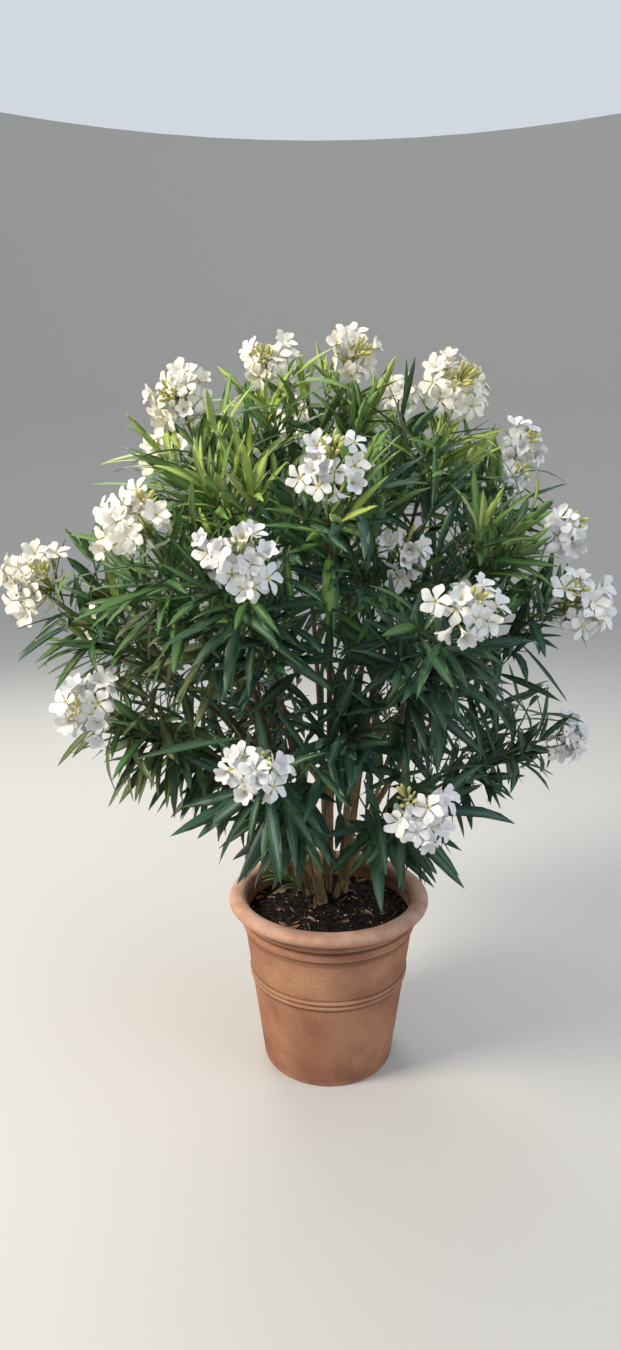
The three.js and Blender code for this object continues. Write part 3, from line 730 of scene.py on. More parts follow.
class Curve:
    """A cubic curve, measured along its length as the curves of the solids are."""

    PARTS = 200

    def __init__(self, a, b, c, d):
        self.corners = np.array([a, b, c, d], float)
        self.times = np.linspace(0, 1, self.PARTS + 1)
        legs = np.linalg.norm(np.diff(self.at(self.times), axis=0), axis=1)
        self.lengths = np.concatenate([[0], np.cumsum(legs)])
        self.length = float(self.lengths[-1])

    def at(self, time):
        t = np.atleast_1d(time)[:, None]
        a, b, c, d = self.corners
        return (1 - t) ** 3 * a + 3 * (1 - t) ** 2 * t * b + 3 * (1 - t) * t**2 * c + t**3 * d

    def time(self, share):
        return np.interp(np.clip(share, 0, 1) * self.length, self.lengths, self.times)

    def point(self, share):
        return self.at(self.time(share))[0]

    def tangent(self, share):
        t = float(self.time(share))
        a, b, c, d = self.corners
        slope = 3 * (1 - t) ** 2 * (b - a) + 6 * (1 - t) * t * (c - b) + 3 * t**2 * (d - c)
        return unit(slope)


def straight(start, end):
    """A straight line, measured as a curve is."""
    start, end = np.asarray(start, float), np.asarray(end, float)
    return Curve(start, start + (end - start) / 3, start + (end - start) * 2 / 3, end)


def head_direction(head):
    """How a shoot with its head there stands: outwards, and steeper the higher it is."""
    tilt = math.radians(between(LOW_TILT, HIGH_TILT, span_share(head[2], LOW_HEAD, HIGH_HEAD)))
    out = unit([head[0], head[1], 0])
    return out * math.cos(tilt) + UP * math.sin(tilt)


def limb_curve(root, away, head, seed):
    """The line of a limb from its root to its head."""
    root, head = np.asarray(root, float), np.asarray(head, float)
    distance = np.linalg.norm(head - root)
    first = root + away * distance * LEAVING_SHARE
    second = head - head_direction(head) * distance * ARRIVING_SHARE
    first[:2] += [(draw(seed, step) - 0.5) * WANDER for step in (1, 2)]
    return Curve(root, first, second, head)


def even_shares(curve, start, end, spacing):
    """Shares of a curve's length from a start to an end, at about that spacing."""
    count = max(1, round(curve.length * (end - start) / spacing))
    return [min(end, start + (end - start) * step / count) for step in range(count + 1)]


def crowded_shares(curve, start, end, spacing):
    """As even_shares, but closer together towards the young end."""
    shares = even_shares(curve, start, end, spacing)
    count = len(shares) - 1
    return [end - (end - start) * (1 - step / count) ** WHORL_CROWDING for step in range(count + 1)]


def offset(tangent, angle, turn):
    """A direction that stands off another at an angle, turned about it."""
    side = unit(np.cross(UP, tangent))
    across = np.cross(tangent, side)
    out = side * math.cos(turn) + across * math.sin(turn)
    return tangent * math.cos(angle) + out * math.sin(angle)


class Limb:
    """A cane or bough: its curve, the share where its mass begins, and its radius along it."""

    def __init__(self, name, curve, end, root_radius, flare):
        self.name = name
        self.curve = curve
        self.end = end
        self.root_radius = root_radius
        self.flare = flare

    def radius(self, share):
        swell = 1 + self.flare * math.exp(-share * self.curve.length / FLARE_REACH)
        return between(self.root_radius, TIP_RADIUS, min(1, share / self.end)) * swell


def grow_limbs():
    """Every cane and bough, by the name of the mass at its end."""
    heads = {name: np.array(head, float) for name, head, *_ in MASSES}
    limbs, by_cane = {}, {}
    for index, (name, foot, radius, leader) in enumerate(CANES):
        root = np.array([*foot, SOIL_TOP + GAP], float)
        away = unit(unit(heads[leader] - root) + UP * CANE_RISE)
        curve = limb_curve(root, away, heads[leader], index + CANE_SEED)
        flare = FLARE_SHARE if name == "front" else SLIGHT_FLARE
        limb = Limb("cane_" + name, curve, 1 - MASS_REACH / curve.length, radius, flare)
        limbs[leader] = by_cane[name] = limb
    boughs = [mass for mass in MASSES if mass[2]]
    for index, (name, head, cane, fork, _) in enumerate(boughs):
        parent = by_cane[cane]
        at = fork * parent.end
        root = parent.curve.point(at)
        away = unit(unit(heads[name] - root) + parent.curve.tangent(at))
        curve = limb_curve(root, away, heads[name], index + BOUGH_SEED)
        end = max(LEAST_BOUGH, 1 - MASS_REACH / curve.length)
        radius = min(BOUGH_ROOT_RADIUS, parent.radius(at) * BOUGH_TAPER_SHARE)
        limbs[name] = Limb("bough_" + name, curve, end, radius, 0)
    return limbs, by_cane


# Bark: a fine mesh along each limb, with its swellings, ridges and leaf scars.

# The spacing of a mesh's rings along its limb, its sides, and how far it goes on into its mass.
BARK_SPACING = 7
CANE_SIDES = 20
BOUGH_SIDES = 12
INTO_MASS = 4
# Nodes, ridges and knobs: their lengths along a limb, how closely they follow one another round it, and
# their heights as shares of its radius.
NODE_SPACING = 58
NODE_LENGTH = 7
NODE_SWELL = 0.1
RIDGE_LENGTH = 26
RIDGES_ROUND = 4
RIDGE_RISE = 0.07
KNOB_LENGTH = 16
KNOBS_ROUND = 1.6
KNOBBLY_FOOT = 0.42
# The foot of a cane: how far up it reaches, how much of the front cane's knobs any other has, how much
# slimmer it is than in the solids there, and how far each draws in.
FOOT_REACH = 45
PLAIN_FOOT = 0.4
SLIM_FOOT = 0.36
FOOT_SINK = 0.06
# A pruned stub: its sides and rings, then, as shares of its radius, its root, its fall to the end and its
# bulges, how those follow one another round it and along it, and the dish of its cut.
STUB_SIDES = 16
STUB_SPACING = 5
STUB_ROOT = 1.12
STUB_FALL = 0.2
STUB_BULGE = 0.14
STUB_LUMPS = (2, 5)
STUB_DISH = 0.8


def tube(curve, start, end, spacing, sides, radius_at, level_foot=False):
    """Corners of a round limb. radius_at gives a radius for a share and an array of turns."""
    turns = np.arange(sides) / sides * TURN
    side = FRONT_TO_BACK
    points = []
    shares = even_shares(curve, start, end, spacing)
    for step, share in enumerate(shares):
        tangent = curve.tangent(share)
        side = unit(side - tangent * side.dot(tangent))
        across = np.cross(tangent, side)
        reach = radius_at(share, turns)[:, None]
        ring = curve.point(share) + reach * (np.cos(turns)[:, None] * side + np.sin(turns)[:, None] * across)
        if level_foot and step == 0:
            ring = ring + tangent * ((curve.point(share)[2] - ring[:, 2]) / tangent[2])[:, None]
        points.extend(ring)
    return points, rings_to_faces(len(shares), sides)


def roughness(turns, roundness, level):
    """Noise round a limb at a level, one value for each turn."""
    places = [Vector((roundness * math.cos(turn), roundness * math.sin(turn), level)) for turn in turns]
    return np.array([noise.noise(place) for place in places])


def bark_radius(limb, seed):
    """A limb's radius with a swelling at each old node, shallow ridges and, at the foot, knobs."""
    knobbly = KNOBBLY_FOOT if limb.name == "cane_front" else PLAIN_FOOT * KNOBBLY_FOOT
    slim = 0 if limb.name == "cane_front" else SLIM_FOOT

    def radius(share, turns):
        along = share * limb.curve.length
        nodes = along / NODE_SPACING + draw(seed, 7)
        knot = math.exp(-(((nodes % 1 - 0.5) * NODE_SPACING / NODE_LENGTH) ** 2))
        thirds = 0.5 + 0.5 * np.cos(3 * turns + math.floor(nodes) * math.pi)
        ridges = roughness(turns, RIDGES_ROUND, along / RIDGE_LENGTH + seed)
        knobs = roughness(turns, KNOBS_ROUND, along / KNOB_LENGTH + seed * 3)
        foot = math.exp(-along / FOOT_REACH) if limb.flare else 0
        swell = NODE_SWELL * knot * thirds + RIDGE_RISE * ridges
        return limb.radius(share) * (1 + swell + foot * (knobbly * knobs - FOOT_SINK - slim))

    return radius


def make_bark(limbs, by_cane):
    """One mesh of bark for each cane and bough, in place of its solid."""
    for seed, limb in enumerate(limbs.values()):
        shape = Shape()
        sides = CANE_SIDES if limb.flare else BOUGH_SIDES
        end = min(1, limb.end + INTO_MASS / limb.curve.length)
        radius = bark_radius(limb, seed)
        shape.add(*tube(limb.curve, 0, end, BARK_SPACING, sides, radius, level_foot=bool(limb.flare)))
        for cane, at, towards in STUBS:
            if by_cane[cane] is limb:
                add_stub(shape, limb, at, unit(towards))
        piece = shown(shape.mesh(limb.name + "_bark", [BARK, CUT_WOOD]))
        dress(piece, [limb.name])


def add_stub(shape, limb, at, towards):
    """A stub left by pruning: swollen at its root, with a weathered cut across its end."""
    root = limb.curve.point(at)
    line = straight(root, root + towards * STUB_LENGTH)

    def radius(share, turns):
        bulge = STUB_BULGE * roughness(turns, STUB_LUMPS[0], share * STUB_LUMPS[1])
        return STUB_RADIUS * (STUB_ROOT - STUB_FALL * share + bulge)

    points, faces = tube(line, 0, 1, STUB_SPACING, STUB_SIDES, radius)
    shape.add(points, faces[:-1])
    rim = points[-STUB_SIDES:]
    middle = np.mean(rim, axis=0) - towards * STUB_DISH
    cut = [(side, (side + 1) % STUB_SIDES, STUB_SIDES) for side in range(STUB_SIDES)]
    shape.add([*rim, middle], cut, slot=1)


# The space of a mass.

def seen_in_opening(points):
    """For each point, whether it stands in an opening as seen from the eye."""
    stretch = EYE[1] / (EYE[1] - points[:, 1])
    across = EYE[0] + (points[:, 0] - EYE[0]) * stretch
    up = EYE[2] + (points[:, 2] - EYE[2]) * stretch
    aside = np.hypot(across[:, None] - OPENINGS[:, 0], up[:, None] - OPENINGS[:, 1])
    return (aside < OPENINGS[:, 2]).any(1)


class Clumps:
    """Every clump of blossoms: where it is, the way it faces and how wide it is."""

    def __init__(self):
        rows = [(name, head, bloom) for name, head, _, _, bloom in MASSES if bloom]
        self.first_second = len(rows)
        rows += SECOND_CLUMPS
        self.owners = [row[0] for row in rows]
        self.centres = np.array([row[1] for row in rows], float)
        self.facings = np.array([clump_facing(row[1]) for row in rows])
        self.widths = np.array([row[2] for row in rows], float)
        for index, owner in enumerate(self.owners[: self.first_second]):
            self.centres[index] += HEAD_SHIFTS.get(owner, 0)
        forwards = (self.centres[:, 1] < CLUMP_TURN_BACK)[:, None] * FRONT_TO_BACK
        self.shows = np.array([unit(way) for way in self.facings - forwards])

    def leave_room(self, points):
        """True if no point is in a clump or stands in front of it."""
        from_centre = points[:, None, :] - self.centres[None]
        distance = np.linalg.norm(from_centre, axis=2)
        ahead = (from_centre * self.shows).sum(2)
        beside = np.sqrt(np.maximum(0, distance**2 - ahead**2))
        level = (from_centre * self.facings).sum(2)
        inside = (distance < self.widths / 2 + CLUMP_ROOM) & (level > -self.widths * CLUMP_BACK)
        hiding = (ahead > 0) & (ahead < CLUMP_FRONT)
        hiding &= beside < self.widths * CLUMP_HALF + ahead * CLUMP_SPREAD
        return not (inside | hiding).any()


def clump_facing(head):
    """The way a clump of blossoms faces: out from the crown and up, and in front also forwards."""
    out = unit([head[0], head[1], 0])
    if head[1] < CLUMP_TURN_BACK:
        out = unit(out * CLUMP_OUT - FRONT_TO_BACK)
    height = span_share(head[2], LOW_HEAD, HIGH_HEAD)
    tilt = math.radians(height * (CLUMP_HIGH_TILT - CLUMP_LOW_TILT) + CLUMP_LOW_TILT)
    return out * math.cos(tilt) + UP * math.sin(tilt)


class Space:
    """Tells what fits in one mass: nearer to its own stem than to any other, and clear of limbs."""

    def __init__(self, mass, limbs, clumps):
        name, head, _, _, bloom = mass
        starts, ends, radii, owners = [], [], [], []
        for owner, limb in limbs.items():
            for low, high, leafy in ((0, limb.end, False), (limb.end, 1, True)):
                shares = even_shares(limb.curve, low, high, STRETCH)
                for a, b in zip(shares, shares[1:]):
                    starts.append(limb.curve.point(a))
                    ends.append(limb.curve.point(b))
                    radii.append(TIP_RADIUS if leafy else limb.radius(a))
                    owners.append(owner if leafy else "")
        self.starts, self.ends, self.radii = np.array(starts), np.array(ends), np.array(radii)
        owners = np.array(owners)
        self.own = owners == name
        self.others = (owners != "") & ~self.own
        self.facing = head_direction(head)
        self.cap = self.facing.dot(np.array(head) + self.facing * (HEAD_CAP if bloom else LEAFY_CAP))
        self.clumps = clumps
        self.low = np.array(cad_box[0]) / METRES + BOX_MARGIN
        self.high = np.array(cad_box[1]) / METRES - BOX_MARGIN

    def distances(self, points):
        """From each point to each stretch of limb or stem."""
        legs = self.ends - self.starts
        from_start = points[:, None, :] - self.starts[None]
        share = np.clip((from_start * legs).sum(2) / (legs * legs).sum(1), 0, 1)
        return np.linalg.norm(from_start - share[:, :, None] * legs, axis=2)

    def holds(self, points, distances):
        """True if the points are in the space of the mass."""
        x, y, z = points.T
        width = np.hypot(x, y)
        on_pot = (z < POT_HEIGHT + POT_MARGIN) & (width < LIP_OUTER_RADIUS + POT_MARGIN)
        window = (x > FOOT_WINDOW[0]) & (x < FOOT_WINDOW[1]) & (y < FOOT_WINDOW_BACK)
        window &= z < FOOT_WINDOW_TOP - y * FOOT_WINDOW_SLOPE
        window |= (y < OPEN_FRONT) & (z < OPEN_LEVEL - y * OPEN_SLOPE)
        window |= seen_in_opening(points)
        outside = (points < self.low).any() or (points > self.high).any()
        past = (points @ self.facing > self.cap) | (width > CROWN_RADIUS)
        nearest_own = distances[:, self.own].min(1) + MASS_MARGIN
        strays = nearest_own > distances[:, self.others].min(1)
        return not (outside or (on_pot | window | past | strays).any()) and self.clumps.leave_room(points)

    def fits(self, points, reach):
        """True if the points are in the space and clear of each limb."""
        points = np.asarray(points)
        distances = self.distances(points)
        if not self.holds(points, distances):
            return False
        room = distances[:, ~self.own] - self.radii[~self.own]
        return bool((room > reach + LIMB_MARGIN).all())


# Shoots: the rule of the solids, carried to life-size leaves.

class Foliage:
    """What has grown so far: leaves, blossoms and buds with their places, and twigs and stalks."""

    def __init__(self):
        self.leaves = []
        self.twigs = Shape()
        self.blossoms = []
        self.buds = []
        self.stalks = Shape()


def frame_of(across, along, above):
    """The turn that takes X, Y and Z to those directions."""
    return Matrix((across, along, above)).transposed().to_quaternion()


def add_leaf(foliage, space, mass, root, along, tangent, roll, size, tint, kind):
    """A leaf that turns its upper face to the tip of its shoot and to the light."""
    out = unit([root[0], root[1], 0]) * FACE_OUT
    if root[1] < CLUMP_TURN_BACK:
        out = out - FRONT_TO_BACK * FACE_FRONT
    skyward = tangent * FACE_TIP + UP + out
    above = unit(skyward - along * skyward.dot(along))
    above = above * math.cos(roll) + np.cross(along, above) * math.sin(roll)
    across = np.cross(along, above)
    length = LEAF_LENGTH * size
    half = LEAF_WIDTH * size / 2
    middle = root + along * length * LEAF_WIDEST
    points = [root + along * length * share for share in LEAF_TESTS]
    points += [middle + across * half, middle - across * half]
    if space is not None and not space.fits(points, LEAF_ROOM):
        return False
    foliage.leaves.append((mass, tint, kind, root, frame_of(across, along, above), size))
    return True


def add_whorls(foliage, space, mass, curve, shares, seed, angles, hang, tints, scale=1.0):
    """Whorls of leaves from the oldest to the youngest. tints gives a tint for an age of 1 to 0."""
    for whorl, share in enumerate(shares):
        age = 1 - whorl / (len(shares) - 1) if len(shares) > 1 else LONE_AGE
        tangent = curve.tangent(share)
        for leaf in range(LEAVES_PER_WHORL):
            step = whorl * LEAVES_PER_WHORL + leaf
            if age > SHED_AGE and draw(seed, step + SHED_STEP) < SHED_SHARE:
                continue
            root = curve.point(share - leaf * LEAF_STEP / curve.length)
            turn = ((leaf + whorl / 2) / LEAVES_PER_WHORL + draw(seed, step) * WHORL_TURN_SPREAD) * TURN
            spread = (draw(seed, step + ANGLE_STEP) - 0.5) * ANGLE_SPREAD
            angle = math.radians(between(*angles, age) + spread)
            along = unit(offset(tangent, angle, turn) - UP * hang * age)
            size = scale * between(*LEAF_SIZES, draw(seed, step + SIZE_STEP))
            size *= between(YOUNG_SIZE, 1, min(1, age * YOUNG_TIMES))
            kind = int(draw(seed, step + KIND_STEP) * len(LEAF_FORMS))
            roll = math.radians((draw(seed, step + ROLL_STEP) - 0.5) * ROLL)
            for tried in LEAF_TRIES:
                form = (roll, size * tried, tints(age), kind)
                if add_leaf(foliage, space, mass, root, along, tangent, *form):
                    break


def add_tube(shape, curve, start_radius, end_radius, spacing=16, sides=6):
    """A round stem or stalk whose radius falls evenly from one end to the other."""

    def radius(share, turns):
        return np.full(len(turns), between(start_radius, end_radius, share))

    shape.add(*tube(curve, 0, 1, spacing, sides, radius))


def add_twig(foliage, space, mass, curve, share, length, turn, seed, tints, broad):
    """A side twig that bends up, with its own whorls, where the space has room for it."""
    root = curve.point(share)
    away = unit(offset(curve.tangent(share), math.radians(TWIG_ANGLE), turn) + UP * TWIG_LIFT)
    for tried in TWIG_TRIES:
        reach = length * tried
        tip = root + unit(away + UP * TWIG_TIP_LIFT) * reach
        first = root + away * reach * TWIG_LEAVING
        second = root + away * reach * TWIG_MIDDLE + (tip - root) * TWIG_ARRIVING
        line = Curve(root, first, second, tip)
        if space.fits([line.point(part) for part in TWIG_TESTS], TWIG_RADIUS):
            break
    else:
        return
    add_tube(foliage.twigs, line, TWIG_RADIUS, TWIG_RADIUS * TWIG_TAPER)
    shares = crowded_shares(line, TWIG_BARE, TWIG_LAST_WHORL, TWIG_WHORL_SPACING * broad**2)
    angles = (YOUNG_ANGLE, TWIG_OLD_ANGLE)
    hang = hang_at(root) * TWIG_HANG
    add_whorls(foliage, space, mass, line, shares, seed, angles, hang, tints, TWIG_LEAF_SIZE * broad)


def hang_at(place):
    """How far old leaves hang there."""
    return between(LOW_HANG, HIGH_HANG, span_share(place[2], *HANG_LEVELS))


# How light a spray is, partly for its youth and partly as painted light from above and from the left:
# the levels and places across between which it grows lighter, and how much its place across and chance add.
PAINTED_LIGHT_LEVELS = (700, 1500)
PAINTED_LIGHT_ACROSS = (-200, 300)
ACROSS_PAINTED_LIGHT = 0.22
CHANCE_LIGHT = 0.46
# The least light of each tint, the light from which a leafy spray's tip is young, and that of any tip
# that is at least fresh.
FRESH_LIGHT = 1.2
BRIGHT_LIGHT = 0.9
MATURE_LIGHT = 0.5
LEAFY_YOUNG_LIGHT = 0.95
FRESH_TIP_LIGHT = 0.8
# Low on the left, most sprays are olive.
OLIVE_RIGHT = -150
OLIVE_TOP = 1050
OLIVE_SHARE = 0.66
MATURE_SHARE = 0.55
DEEP_SHARE = 0.66
# The tint of the younger leaves on a spray, and the ages up to which a leaf is at the tip or younger.
YOUNGER_TINTS = {
    "fresh": "young",
    "bright": "fresh",
    "mature": "bright",
    "blue": "mature",
    "deep": "blue",
    "olive": "bright",
}
TIP_AGE = 0.2
YOUNGER_AGE = 0.45


def tint_rule(place, leafy, seed, bonus=0.0):
    """The tints of a spray from where it is: paler high up, towards the left and at young tips, darker low
    down, and dull low on the left. The paler tints are partly painted light, the darker partly painted shade.
    """
    # Painted light: a spray is lighter the higher and the further left it is; low down it is darker, as
    # painted shade.
    light = span_share(place[2], *PAINTED_LIGHT_LEVELS) + span_share(-place[0], *PAINTED_LIGHT_ACROSS) * ACROSS_PAINTED_LIGHT
    light = light + draw(seed, 11) * CHANCE_LIGHT + bonus
    if place[0] < OLIVE_RIGHT and place[2] < OLIVE_TOP and draw(seed, 12) < OLIVE_SHARE:
        old = "olive"
    elif light > FRESH_LIGHT:
        old = "fresh"
    elif light > BRIGHT_LIGHT:
        old = "bright"
    elif light > MATURE_LIGHT:
        old = "mature" if draw(seed, 13) < MATURE_SHARE else "blue"
    else:
        old = "deep" if draw(seed, 13) < DEEP_SHARE else "blue"
    younger = YOUNGER_TINTS[old]
    if light > (LEAFY_YOUNG_LIGHT if leafy else FRESH_LIGHT):
        tip = "young"
    elif light > FRESH_TIP_LIGHT:
        tip = "fresh"
    elif leafy:
        tip = younger
    else:
        tip = "bright" if light > MATURE_LIGHT else "mature"

    def tints(age):
        if age < TIP_AGE:
            return tip
        return younger if age < YOUNGER_AGE else old

    return tints


def grow_mass(foliage, index, mass, limb, space):
    """The stem of a mass, which goes on from its limb, with its whorls and twigs."""
    name, head, _, _, bloom = mass
    curve = limb.curve
    start = limb.end
    height = span_share(head[2], LOW_HEAD, HIGH_HEAD)
    bare_tip = bloom * between(LOW_STALK, HIGH_STALK, height) if bloom else LEAFY_STOP
    top = 1 - bare_tip / curve.length
    add_tube(foliage.twigs, Curve(*later_part(curve, start)), *STEM)
    angles = (between(LOW_STAR_ANGLE, HIGH_STAR_ANGLE, height) if bloom else YOUNG_ANGLE, OLD_ANGLE)
    broad = BROAD_MASSES.get(name, 1)
    shares = crowded_shares(curve, start, top, WHORL_SPACING * broad**2)
    bonus = YOUNG_MASSES.get(name, 0)
    tints = tint_rule(curve.point(between(start, 1, 0.6)), not bloom, index, bonus)
    hang = hang_at(curve.point(start))
    add_whorls(foliage, space, name, curve, shares, index + MASS_SEED, angles, hang, tints, broad)
    for twig in range(TWIGS):
        seed = TWIG_SEED + index * TWIGS + twig
        part = (twig + 0.4) / TWIGS * LAST_TWIG
        share = between(start, top, part)
        length = between(*TWIG_LENGTHS, draw(seed, 3)) * (1.1 - 0.3 * part)
        turn = twig * GOLDEN_TURN + draw(seed, 1) * TWIG_TURN_SPREAD + index
        spray = tint_rule(curve.point(share), True, seed, bonus)
        add_twig(foliage, space, name, curve, share, length, turn, seed, spray, broad)


def later_part(curve, start):
    """The corners of the part of a cubic curve from a share of its length to its end."""
    t = float(curve.time(start))
    a, b, c, d = curve.corners
    ab, bc, cd = a + (b - a) * t, b + (c - b) * t, c + (d - c) * t
    abc, bcd = ab + (bc - ab) * t, bc + (cd - bc) * t
    return abc + (bcd - abc) * t, bcd, cd, d


# Clumps of blossoms: a stalk that branches to flowers over a loose, lobed dome, and to its buds.

# A flower: how far its petals reach, its tube, how its size varies and how much room it takes.
PETAL_REACH = 27.5
TUBE_LENGTH = 17
FLOWER_SIZES = (0.9, 1.1)
FLOWER_ROOM = 22
# The bend of a stalk: how strongly it sets off as it arrives, and how long it keeps each direction.
STALK_AIM = 10
STALK_LEAVING = 0.35
STALK_ARRIVING = 0.3
# How far a head is sunk behind its place, as a share of its half width.
HEAD_SINK = 0.35
# Buds: how their size varies, how high on the dome they are, how far they lean apart, and, for as many
# as are usual, how far apart they stand and how far off flowers keep.
BUD_SIZES = (0.8, 1.15)
BUD_LEVELS = (0.55, 1.0)
BUD_LEAN = 0.35
BUD_SPREAD = 14
BUD_ROOM = 15
USUAL_BUDS = 10
# The dome that flowers stand on, and how far each leans to its front, outwards and by chance.
DOME_WIDTH = 1.25
DOME_EDGE = 0.96
LEAN_FORWARD = 0.85
LEAN_OUT = 0.6
LEAN_NOD = 0.75
# The flowers behind a head: how many, how far round from its front they look, and how far out they are.
BACK_FLOWERS = 5
BACK_OPENINGS = (96, 118)
BACK_REACH = 0.8
BACK_LEAN = 0.1
# Where the draws of a clump, of its flowers behind and of its buds start.
CLUMP_STEP = 50
BACK_STEP = 20
BUD_STEP = 30
# How many flowers a lobe has, which goes by the square of its width, less a little, how far apart they
# are and how high on the dome.
LOBE_WIDTH = 50
LOBE_FLOWERS = 1.35
LOBE_LESS = 0.4
LOBE_SPREAD = 1.5
LOBE_LEVELS = (0.8, 1.06)
# One more flower under each lobe, nearer to the middle of the head.
UNDER_SHARE = 0.6
UNDER_SPREAD = 13
UNDER_LEVELS = (0.52, 0.72)
# Where the stalk of a clump leaves its shoot: as a share of the clump's width, or of a second clump.
JOIN_SHARE = 0.42
SECOND_JOIN = 130


def bent_line(start, end, arriving):
    """A curved line that sets off towards its end and arrives the given way."""
    start, end = np.asarray(start, float), np.asarray(end, float)
    distance = np.linalg.norm(end - start)
    first = start + unit(end - start + arriving * STALK_AIM) * distance * STALK_LEAVING
    return Curve(start, first, end - arriving * distance * STALK_ARRIVING, end)


def add_flower(foliage, mass, hub, middle, lean, seed, large=1.0):
    """A flower on a stalk from the hub of its clump, turned about the way it leans."""
    spin = Quaternion(lean, draw(seed, 1) * TURN)
    turned = spin @ Vector((0, 0, 1)).rotation_difference(Vector(lean))
    size = between(*FLOWER_SIZES, draw(seed, 2)) * large
    kind = int(draw(seed, 3) * len(FLOWER_FORMS))
    foliage.blossoms.append((mass, kind, middle, turned, size))
    foot = middle - lean * TUBE_LENGTH * size
    add_tube(foliage.stalks, bent_line(hub, foot, lean), *FLOWER_STALK)


def add_bud(foliage, mass, hub, foot, lean, seed):
    """A bud on a stalk from the hub of its clump."""
    kind = int(draw(seed, 1) * len(BUD_FORMS))
    turned = Vector((0, 0, 1)).rotation_difference(Vector(lean))
    foliage.buds.append((mass, kind, foot, turned, between(*BUD_SIZES, draw(seed, 2))))
    add_tube(foliage.stalks, bent_line(hub, foot, lean), *BUD_STALK)


def flower_places(lobes, seed):
    """Where the flowers of a head's lobes are, to the right and up of its middle, and how high on it."""
    for index, (x, y, wide) in enumerate(lobes):
        count = max(1, round((wide / LOBE_WIDTH) ** 2 * LOBE_FLOWERS - LOBE_LESS))
        level_draw = draw(seed, index + 60)
        for flower in range(count):
            share = math.sqrt((flower + 0.5) / count)
            apart = (wide / 2 - FLOWER_ROOM) * LOBE_SPREAD * share if count > 1 else 0
            turn = flower * GOLDEN_TURN + draw(seed, index + 40) * TURN
            level = between(*LOBE_LEVELS, level_draw)
            yield x + apart * math.cos(turn), y + apart * math.sin(turn), level
        turn = draw(seed, index + 80) * TURN
        aside, above = UNDER_SPREAD * math.cos(turn), UNDER_SPREAD * math.sin(turn)
        yield x * UNDER_SHARE + aside, y * UNDER_SHARE + above, between(*UNDER_LEVELS, level_draw)


def plain_lobes(width, seed):
    """Lobes in a ring round one in the middle, for a head that isn't described."""
    ring = max(3, round(width / PLAIN_SPACING))
    reach = width / 2 - PLAIN_LOBE * PLAIN_INSET
    turns = [(lobe + draw(seed, lobe) * PLAIN_STRAY) / ring * TURN for lobe in range(ring)]
    lobes = [(reach * math.cos(turn), reach * math.sin(turn), PLAIN_LOBE) for turn in turns]
    aside, above = PLAIN_BUDS_AT
    return [*lobes, (0, 0, PLAIN_LOBE)], (reach * aside, reach * above, PLAIN_BUDS)


def add_clump(foliage, mass, curve, join, centre, facing, width, form, seed):
    """A clump on a stalk that leaves the shoot at a share of its curve."""
    lobes, (buds_right, buds_up, buds) = form
    large = LARGE_FLOWERS.get(mass, 1)
    right = unit(np.cross(UP, facing))
    above = np.cross(facing, right)
    half = width / 2 - FLOWER_ROOM
    centre = centre - facing * half * HEAD_SINK
    hub = centre - facing * half
    add_tube(foliage.stalks, bent_line(curve.point(join), hub, facing), *CLUMP_STALK)

    def on_dome(x, y, depth):
        share = min(DOME_EDGE, math.hypot(x, y) / (half * DOME_WIDTH))
        return centre + right * x + above * y + facing * half * math.sqrt(1 - share**2) * depth

    crowd = math.sqrt(buds / USUAL_BUDS)
    for index, (x, y, level) in enumerate(flower_places(lobes, seed)):
        place = seed * CLUMP_STEP + index
        if math.hypot(x - buds_right, y - buds_up) < BUD_ROOM * crowd:
            continue
        middle = on_dome(x, y, level)
        sideways = (right * x + above * y) / half
        nod = right * (draw(place, 7) - 0.5) + above * (draw(place, 8) - 0.6)
        lean = unit(facing * LEAN_FORWARD + sideways * LEAN_OUT + nod * LEAN_NOD)
        add_flower(foliage, mass, hub, middle, lean, place, large)
    for index in range(BACK_FLOWERS):
        place = seed * CLUMP_STEP + BACK_STEP + index
        polar = math.radians(between(*BACK_OPENINGS, draw(place, 4)))
        turn = (index + draw(place, 5) * 0.5) / BACK_FLOWERS * TURN
        out = (right * math.cos(turn) + above * math.sin(turn)) * math.sin(polar) + facing * math.cos(polar)
        lean = unit(out - facing * BACK_LEAN)
        add_flower(foliage, mass, hub, centre + out * half * BACK_REACH, lean, place)
    for bud in range(buds):
        place = seed * CLUMP_STEP + BUD_STEP + bud
        turn = bud * GOLDEN_TURN
        apart = BUD_SPREAD * crowd * math.sqrt((bud + 0.5) / buds)
        x, y = buds_right + apart * math.cos(turn), buds_up + apart * math.sin(turn)
        foot = on_dome(x, y, between(*BUD_LEVELS, draw(place, 7)))
        lean = unit(unit(foot - hub) + (right * math.cos(turn) + above * math.sin(turn)) * BUD_LEAN)
        add_bud(foliage, mass, hub, foot, lean, place)


def grow_clumps(foliage, limbs, clumps):
    """Every clump of blossoms, at the end of a shoot or on its side."""
    rows = zip(clumps.owners, clumps.centres, clumps.facings, clumps.widths)
    for index, (mass, centre, facing, width) in enumerate(rows):
        curve = limbs[mass].curve
        ends = index < clumps.first_second
        join = 1 - (width * JOIN_SHARE if ends else SECOND_JOIN) / curve.length
        seed = CLUMP_SEED + index
        described = HEAD_FORMS.get(mass) if ends else None
        form = described or plain_lobes(width, seed)
        add_clump(foliage, mass, curve, join, centre, facing, width, form, seed)


# The shapes that are repeated: leaves, flowers and buds, each in a few kinds.

# The outline of a leaf: shares of its length, and of its half width there.
LEAF_OUTLINE = (
    (0, 0.07), (0.06, 0.13), (0.19, 0.66), (0.38, 0.98), (0.6, 0.96), (0.8, 0.64), (0.93, 0.27), (1, 0),
)
